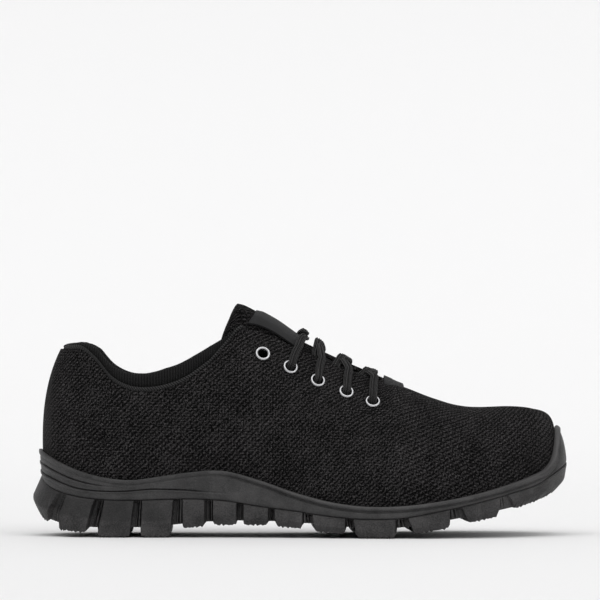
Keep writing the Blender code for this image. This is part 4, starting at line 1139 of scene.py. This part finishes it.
# %% Sweeping a closed section
def sweep_skin(sections, cap):
    """A closed skin round a row of closed sections, with rounded ends."""
    ends = []
    for end, beyond in ((0, 1), (-1, -2)):
        ring = sections[end]
        centre = ring.mean(axis=0)
        way = unit(centre - sections[beyond].mean(axis=0))
        turns = np.linspace(0, math.pi / 2, 6)[1:]
        ends.append([centre + (ring - centre) * math.cos(t) + way * cap * math.sin(t) for t in turns])
    table = np.array(ends[0][::-1] + list(sections) + ends[1])
    table = np.concatenate([table, table[:, :1]], axis=1)
    bm = skin_grid(table, metre_uv(table))
    bmesh.ops.remove_doubles(bm, verts=bm.verts, dist=0.000002)
    bmesh.ops.recalc_face_normals(bm, faces=bm.faces)
    return bm


COLLAR_COLUMNS = 230
COLLAR_SIDE = np.linspace(0, COLLAR_FRONT_RUN, COLLAR_COLUMNS)
COLLAR_RUNS = np.concatenate([np.linspace(COLLAR_FRONT_RUN, 0, COLLAR_COLUMNS), COLLAR_SIDE[1:]])


def collar_parts(shares):
    """Skin, its normals and the level way out, for each column round the collar."""
    skin, ways = [], []
    for side in (-1, 1):
        points = upper_surface(COLLAR_SIDE, side, shares)
        normals = grid_normals(points, side)
        normals[0] = unit(normals[0] * [1, 0, 1])
        order = slice(None, None, -1) if side < 0 else slice(1, None)
        skin.append(points[order])
        ways.append(normals[order])
    skin, ways = np.concatenate(skin), np.concatenate(ways)
    return skin, ways, unit(ways[:, -1] * [1, 1, 0])


# %% Collar finish
COLLAR_KNIT = Finish("collar_knit", (0.008, 0.008, 0.008), 0.9, sheen=0.03, gloss=0.15)
_, (collar_u, _, _) = COLLAR_KNIT.coordinates("UV")
collar_rib = COLLAR_KNIT.ripples(collar_u, 0.0016)
collar_yarn = COLLAR_KNIT.noise(COLLAR_KNIT.coordinates("Object")[0], 1700.0, 2.0)
collar_rough = COLLAR_KNIT.calc("ADD", collar_rib, COLLAR_KNIT.spread(collar_yarn, 0.3, 0.7, -0.6, 0.6))
collar_shade = COLLAR_KNIT.spread(collar_rough, -1.2, 1.2, 0.0, 1.0)
COLLAR_KNIT.colour(collar_shade, (0.0008, 0.0008, 0.0008), (0.0150, 0.0147, 0.0150))
COLLAR_KNIT.bump(collar_rough, 0.00035)

# %% Padded collar roll
LINING_THICKNESS = 0.0055
PIPING_RADIUS = 0.0013
# How high the bead's middle stands over the cloth's edge, in bead radii, by run
PIPING_RISE = ((0.0, 0.06), (-0.9, 0.6))
PIPING_SEAT = 0.0008


def collar_lining_sections():
    shares = np.linspace(2 / 3, 1, 9)
    skin, ways, level = collar_parts(shares)
    full = np.clip((COLLAR_FRONT_RUN - COLLAR_RUNS) / 0.07, 0.3, 1)
    half = (LINING_THICKNESS / 2 * full)[:, None]
    rise = np.interp(COLLAR_RUNS, *PADDING_RISE)[:, None]
    tall = np.maximum(rise / 2, 0.0013)
    centre = skin[:, -1] + UP * (rise - tall) - level * (WALL * 0.6 + half)
    rows = []
    for turn in np.radians(np.linspace(-50, 175, 18)):
        rows.append(centre + level * math.cos(turn) * half + UP * math.sin(turn) * tall)
    for k in range(7, 0, -1):
        thick = half * 2 * (0.4 + 0.6 * (k / 8))
        rows.append(skin[:, k] - ways[:, k] * (WALL + GAP * 4 + thick))
    for k in range(1, 9):
        rows.append(skin[:, k] - ways[:, k] * (WALL + GAP * 4))
    return np.stack(rows, axis=1)


lining = add_piece(
    "collar_padding", sweep_skin(collar_lining_sections(), 0.0008), COLLAR_KNIT.material,
    "collar_knit", "collar_lining",
)

# %% Collar bead
PIPING = Finish("collar_bead", (0.008, 0.008, 0.008), 0.8, sheen=0.03, gloss=0.2)
_, (piping_u, _, _) = PIPING.coordinates("UV", 35.0)
piping_twist = PIPING.ripples(piping_u, 0.0012)
piping_shade = PIPING.spread(piping_twist, -1.0, 1.0, 0.0, 1.0)
PIPING.colour(piping_shade, (0.0030, 0.0030, 0.0031), (0.0400, 0.0390, 0.0395))
PIPING.bump(piping_twist, 0.0003)


def collar_piping_sections():
    skin, _, level = collar_parts(np.linspace(2 / 3, 1, 9))
    rise = np.interp(COLLAR_RUNS, *PIPING_RISE)[:, None] * PIPING_RADIUS
    centre = skin[:, -1] + UP * rise - level * (WALL * 0.35 + np.maximum(PIPING_SEAT - rise, 0))
    turns = np.radians(np.linspace(0, 360, 13)[:-1])
    rows = [centre + (level * math.cos(t) + UP * math.sin(t)) * PIPING_RADIUS for t in turns]
    return np.stack(rows, axis=1)


add_piece(
    "collar_bead", sweep_skin(collar_piping_sections(), PIPING_RADIUS), PIPING.material,
    "collar_knit", "collar_piping",
)

# %% [markdown]
# ## Tongue
# The tongue is a padded leaf with rounded edges that lies under the laces, with a bare
# woven label across its top.

# %% Tongue
TONGUE_KNIT = knit_finish("tongue_knit", (0.0003, 0.0003, 0.0003), (0.0700, 0.0660, 0.0675), 0.0024)
TONGUE_SHARES = np.linspace(0, 1, 150)


def tongue_sections():
    sections = []
    for share in TONGUE_SHARES:
        half = TONGUE.at("angle", share)
        thick = TONGUE_THICKNESS * TONGUE.at("swell", share)
        turns = np.radians(np.linspace(0, 360, 49)[:-1])
        ring = []
        for turn in turns:
            across = math.cos(turn)
            bulge = math.copysign(abs(math.sin(turn)) ** 0.55, math.sin(turn))
            angle = half * math.copysign(abs(across) ** 0.8, across)
            ring.append(tongue_point(share, angle, thick / 2 * (1 - bulge)))
        sections.append(ring)
    return np.array(sections)


tongue = add_piece(
    "tongue_padding", sweep_skin(tongue_sections(), 0.0022), TONGUE_KNIT, "knit", "tongue"
)

# %% Tongue label
LABEL = Finish("label_cloth", (0.008, 0.008, 0.008), 0.7, sheen=0.03, gloss=0.25)
_, (label_u, label_v, _) = LABEL.coordinates("UV")
label_rows = LABEL.ripples(label_u, 0.0007)
label_warp = LABEL.ripples(label_v, 0.0009)
label_weave = LABEL.calc("MULTIPLY", label_rows, label_warp)
label_shade = LABEL.spread(label_weave, -1.0, 1.0, 0.0, 1.0)
LABEL.colour(label_shade, (0.0160, 0.0160, 0.0165), (0.0300, 0.0300, 0.0310))
LABEL.bump(label_weave, 0.00015)
LABEL_THICKNESS = 0.0012
LABEL_HALF_ANGLE = 42.0
LABEL_ENDS = (0.115, 0.385)
LABEL_LIFT = 0.0004
LABEL_END_RISE = 0.0006
LABEL_TUCK = 0.0009


def label_sections():
    """A thin tape: its upper end is tucked into the tongue, its lower end stands up a little."""
    sections = []
    for share in np.linspace(*LABEL_ENDS, 60):
        lift = LABEL_LIFT + LABEL_END_RISE * float(np.clip((share - 0.27) / 0.13, 0, 1)) ** 1.5
        lift -= LABEL_TUCK * float(np.clip((0.150 - share) / 0.035, 0, 1))
        angles = np.linspace(-LABEL_HALF_ANGLE, LABEL_HALF_ANGLE, 24)
        low = [tongue_point(share, a, -lift) for a in angles]
        high = [tongue_point(share, a, -lift - LABEL_THICKNESS) for a in angles[::-1]]
        sections.append(low + high)
    return np.array(sections)


label_bm = sweep_skin(label_sections(), 0.0004)
add_piece("tongue_tape", label_bm, LABEL.material, "label_cloth", "tongue_label")

# %% Throat tab
TAB_LENGTH = 0.010
TAB_WIDTH = 0.013
TAB_THICKNESS = 0.0022
TAB_OUTWARD = 0.0050
TAB_START = 0.0040


def tab_sections():
    """A small folded patch that lies over the throat's end, more to the outer side."""
    runs = np.linspace(THROAT_BASE_RUN, 0.80, 60)
    ridge = top_point(runs, 1)
    slope = (ridge[12, 2] - ridge[0, 2]) / (ridge[12, 0] - ridge[0, 0])
    sections = []
    for share in np.linspace(0, 1, 24):
        x = ridge[0, 0] - TAB_START + TAB_LENGTH * share
        z = np.interp(x, ridge[:, 0], ridge[:, 2]) + min(x - ridge[0, 0], 0) * slope
        base = np.array([x, np.interp(x, ridge[:, 0], ridge[:, 1]), z])
        half = TAB_WIDTH / 2 * (1 - 0.15 * share)
        tall = TAB_THICKNESS * (1.0 - 0.45 * share)
        ring = []
        for turn in np.radians(np.linspace(0, 360, 25)[:-1]):
            across = math.copysign(abs(math.cos(turn)) ** 0.6, math.cos(turn)) * half - TAB_OUTWARD
            up = max(math.sin(turn), 0) ** 0.6 * tall + GAP + 0.0006 - across**2 / 0.026
            ring.append(base + np.array([0, across, up]))
        sections.append(ring)
    return np.array(sections)


tab_bm = sweep_skin(tab_sections(), 0.0008)
add_piece("throat_patch", tab_bm, LABEL.material, "label_cloth", "throat_tab")

# %% [markdown]
# ## Eyelets
# Each eyelet is a thin metal ring with a rolled rim. Its profile is spun round the hole's
# axis, and the rings are set on the upper, one for each hole.

# %% Eyelet metal
METAL = Finish("eyelet_metal", (0.50, 0.50, 0.51), 0.32, metallic=1.0)
metal_scuff = METAL.noise(METAL.coordinates()[0], 900.0, 3.0)
METAL.feed(METAL.spread(metal_scuff, 0.3, 0.7, 0.26, 0.44), METAL.shader.inputs["Roughness"])
METAL.bump(metal_scuff, 0.00002, 0.5)

# %% Eyelet rings
EYELET_PROFILE = [
    (0.0028, -0.0012), (0.0028, 0.0004), (0.0029, 0.0009), (0.0033, 0.0012), (0.0037, 0.0012),
    (0.0041, 0.0009), (0.0042, 0.0004), (0.0034, 0.0003), (0.0031, -0.0012),
]
eyelet_bm = bmesh.new()
for point, normal in EYELET_PLACES.values():
    first = unit(np.cross(normal, [0.0, 1.0, 0.0]))
    ring = [eyelet_bm.verts.new(point + first * r + normal * h) for r, h in EYELET_PROFILE]
    edges = [eyelet_bm.edges.new((a, b)) for a, b in zip(ring, ring[1:] + ring[:1])]
    bmesh.ops.spin(
        eyelet_bm, geom=ring + edges, cent=Vector(point), axis=Vector(normal), dvec=(0, 0, 0),
        angle=2 * math.pi, steps=40, use_merge=True, use_duplicate=False,
    )
bmesh.ops.remove_doubles(eyelet_bm, verts=eyelet_bm.verts, dist=0.000002)
bmesh.ops.recalc_face_normals(eyelet_bm, faces=eyelet_bm.faces)
eyelet_nodes = [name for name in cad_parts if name.startswith("eyelet")]
add_piece("eyelet_rings", eyelet_bm, METAL.material, "eyelet_metal", *eyelet_nodes)

# %% [markdown]
# ## Lace finish and lace
# The lace is a flat braid with four rounded ribs along it. Its route is resampled about
# every millimetre, its flat side is turned to lie on what is under it, and a ribbed section
# is swept along.

# %% Lace
LACE = Finish("lace_cord", (0.012, 0.012, 0.012), 0.75, sheen=0.01, gloss=0.15)
_, (lace_u, lace_v, _) = LACE.coordinates("UV")
lace_braid = LACE.ripples(LACE.calc("ADD", lace_u, lace_v), 0.0011)
lace_yarn = LACE.noise(LACE.coordinates("Object")[0], 2200.0, 2.0)
lace_ribs = LACE.ripples(lace_v, 0.00135, "COSINE")
lace_rough = LACE.calc("ADD", lace_braid, LACE.spread(lace_yarn, 0.3, 0.7, -0.5, 0.5))
lace_rough = LACE.calc("ADD", LACE.calc("MULTIPLY", lace_rough, 0.5), lace_ribs)
lace_shade = LACE.spread(lace_rough, -1.3, 1.5, 0.0, 1.0)
LACE.colour(lace_shade, (0.0012, 0.0012, 0.0012), (0.0720, 0.0700, 0.0705))
LACE.bump(lace_rough, 0.0002, 0.8)


def smooth_route(stops, step):
    """A smooth curve through the stops, in even steps, with the way out at each place."""
    places = np.array([place for place, _ in stops])
    spans = np.sqrt(np.linalg.norm(np.diff(places, axis=0), axis=1)).clip(1e-4)
    knots = np.concatenate([[0], np.cumsum(spans)])
    slopes = np.gradient(places, knots, axis=0)
    fine = np.linspace(0, knots[-1], 6000)
    i = np.clip(np.searchsorted(knots, fine, side="right") - 1, 0, len(knots) - 2)
    span = (knots[i + 1] - knots[i])[:, None]
    t = ((fine - knots[i]) / span[:, 0])[:, None]
    curve = smooth_between(t, span, places[i], slopes[i], places[i + 1], slopes[i + 1])
    walked = np.concatenate([[0], np.cumsum(np.linalg.norm(np.diff(curve, axis=0), axis=1))])
    even = np.linspace(0, walked[-1], int(walked[-1] / step) + 1)
    route = np.stack([np.interp(even, walked, curve[:, k]) for k in range(3)], axis=1)
    stop_at = np.interp(knots, fine, walked)
    numbers = np.rint(stop_at / walked[-1] * (len(even) - 1)).astype(int)
    wanted = {int(number): way for number, (_, way) in zip(numbers, stops)}
    return route, wanted


def lay_flat(route, wanted):
    """Ways out of the flat side: carried along the route and turned to the wanted ones."""
    along = unit(np.gradient(route, axis=0))
    ways = np.zeros_like(route)
    way = next(w for w in wanted.values() if w is not None)
    for k in range(len(route)):
        way = unit(way - along[k] * (way @ along[k]))
        ways[k] = way
        want = wanted.get(k)
        if want is not None:
            want = unit(want - along[k] * (want @ along[k]))
            way = unit(way * 0.2 + want * (1.0 if want @ way > 0 else -1.0))
            ways[k] = way
    for _ in range(4):
        mixed = ways.copy()
        mixed[1:-1] = ways[:-2] + ways[1:-1] * 2 + ways[2:]
        mixed -= along * (mixed * along).sum(axis=1, keepdims=True)
        ways = unit(mixed)
    return along, ways


lace_path, lace_wanted = smooth_route(ROUTE, 0.0009)
lace_along, lace_ways = lay_flat(lace_path, lace_wanted)
lace_across = np.cross(lace_along, lace_ways)
lace_turns = np.radians(np.linspace(0, 360, 41)[:-1])
wide = np.sign(np.cos(lace_turns)) * np.abs(np.cos(lace_turns)) ** 0.8 * LACE_WIDTH / 2
ribs = 0.66 + 0.34 * np.cos(2 * math.pi * 4 * (wide / LACE_WIDTH + 0.125))
tall = np.sign(np.sin(lace_turns)) * np.abs(np.sin(lace_turns)) ** 0.65 * ribs * LACE_THICKNESS / 2
lace_sections = lace_path[:, None] + lace_across[:, None] * wide[None, :, None]
lace_sections = lace_sections + lace_ways[:, None] * tall[None, :, None]
lace_nodes = [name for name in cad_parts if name.startswith("lace")]
lace = add_piece("lace", sweep_skin(lace_sections, 0.0005), LACE.material, "lace_cord", *lace_nodes)

# %% [markdown]
# ## Floor, light and background
# A pale sweep runs from the floor up behind the shoe, so there is no horizon. A wide soft sky
# light above and a small light at the toe side give even light and a shadow on the floor.

# %% Sweep
SWEEP_FLOOR = 5.0
SWEEP_BEND = 1.6
SWEEP_FRONT = -4.0
SWEEP_HALF_WIDTH = 5.0
SWEEP_RUN = 9.0
sweep_bm = bmesh.new()
bmesh.ops.create_grid(sweep_bm, x_segments=2, y_segments=60, size=1.0)
for vert in sweep_bm.verts:
    run = (vert.co.y + 1) / 2 * SWEEP_RUN
    turn = float(np.clip((run - SWEEP_FLOOR) / SWEEP_BEND, 0, math.pi / 2))
    back = SWEEP_FRONT + min(run, SWEEP_FLOOR) + SWEEP_BEND * math.sin(turn)
    wall_height = max(run - SWEEP_FLOOR - SWEEP_BEND * math.pi / 2, 0)
    vert.co = (vert.co.x * SWEEP_HALF_WIDTH, back, SWEEP_BEND * (1 - math.cos(turn)) + wall_height)
SWEEP = Finish("sweep_paper", (0.86, 0.858, 0.86), 0.9)
sweep = mesh_object("sweep", sweep_bm, SWEEP.material)


# %% Lights
def soft_light(name, place, target, size, power):
    data = bpy.data.lights.new(name, "AREA")
    data.shape = "RECTANGLE"
    data.size, data.size_y = size
    data.energy = power
    lamp = bpy.data.objects.new(name, data)
    lamp.location = place
    lamp.rotation_euler = (Vector(target) - Vector(place)).to_track_quat("-Z", "Y").to_euler()
    bpy.context.scene.collection.objects.link(lamp)


SKY_POWER = 1.74
SKY_SPREAD = 75.0
WORLD_POWER = 0.46
soft_light("toe_side", (1.6, -1.2, 0.9), (0.05, 0, 0.05), (0.7, 0.9), 5.0)
sky_data = bpy.data.lights.new("soft_sky", "SUN")
sky_data.energy = SKY_POWER
sky_data.angle = math.radians(SKY_SPREAD)
sky = bpy.data.objects.new("soft_sky", sky_data)
sky.rotation_euler = Vector((0.05, 0.42, -0.90)).to_track_quat("-Z", "Y").to_euler()
bpy.context.scene.collection.objects.link(sky)
world = bpy.data.worlds.new("studio")
world.use_nodes = True
world.node_tree.nodes["Background"].inputs["Color"].default_value = (1.0, 1.0, 1.0, 1.0)
world.node_tree.nodes["Background"].inputs["Strength"].default_value = WORLD_POWER
bpy.context.scene.world = world
bpy.context.scene.view_settings.view_transform = "Standard"
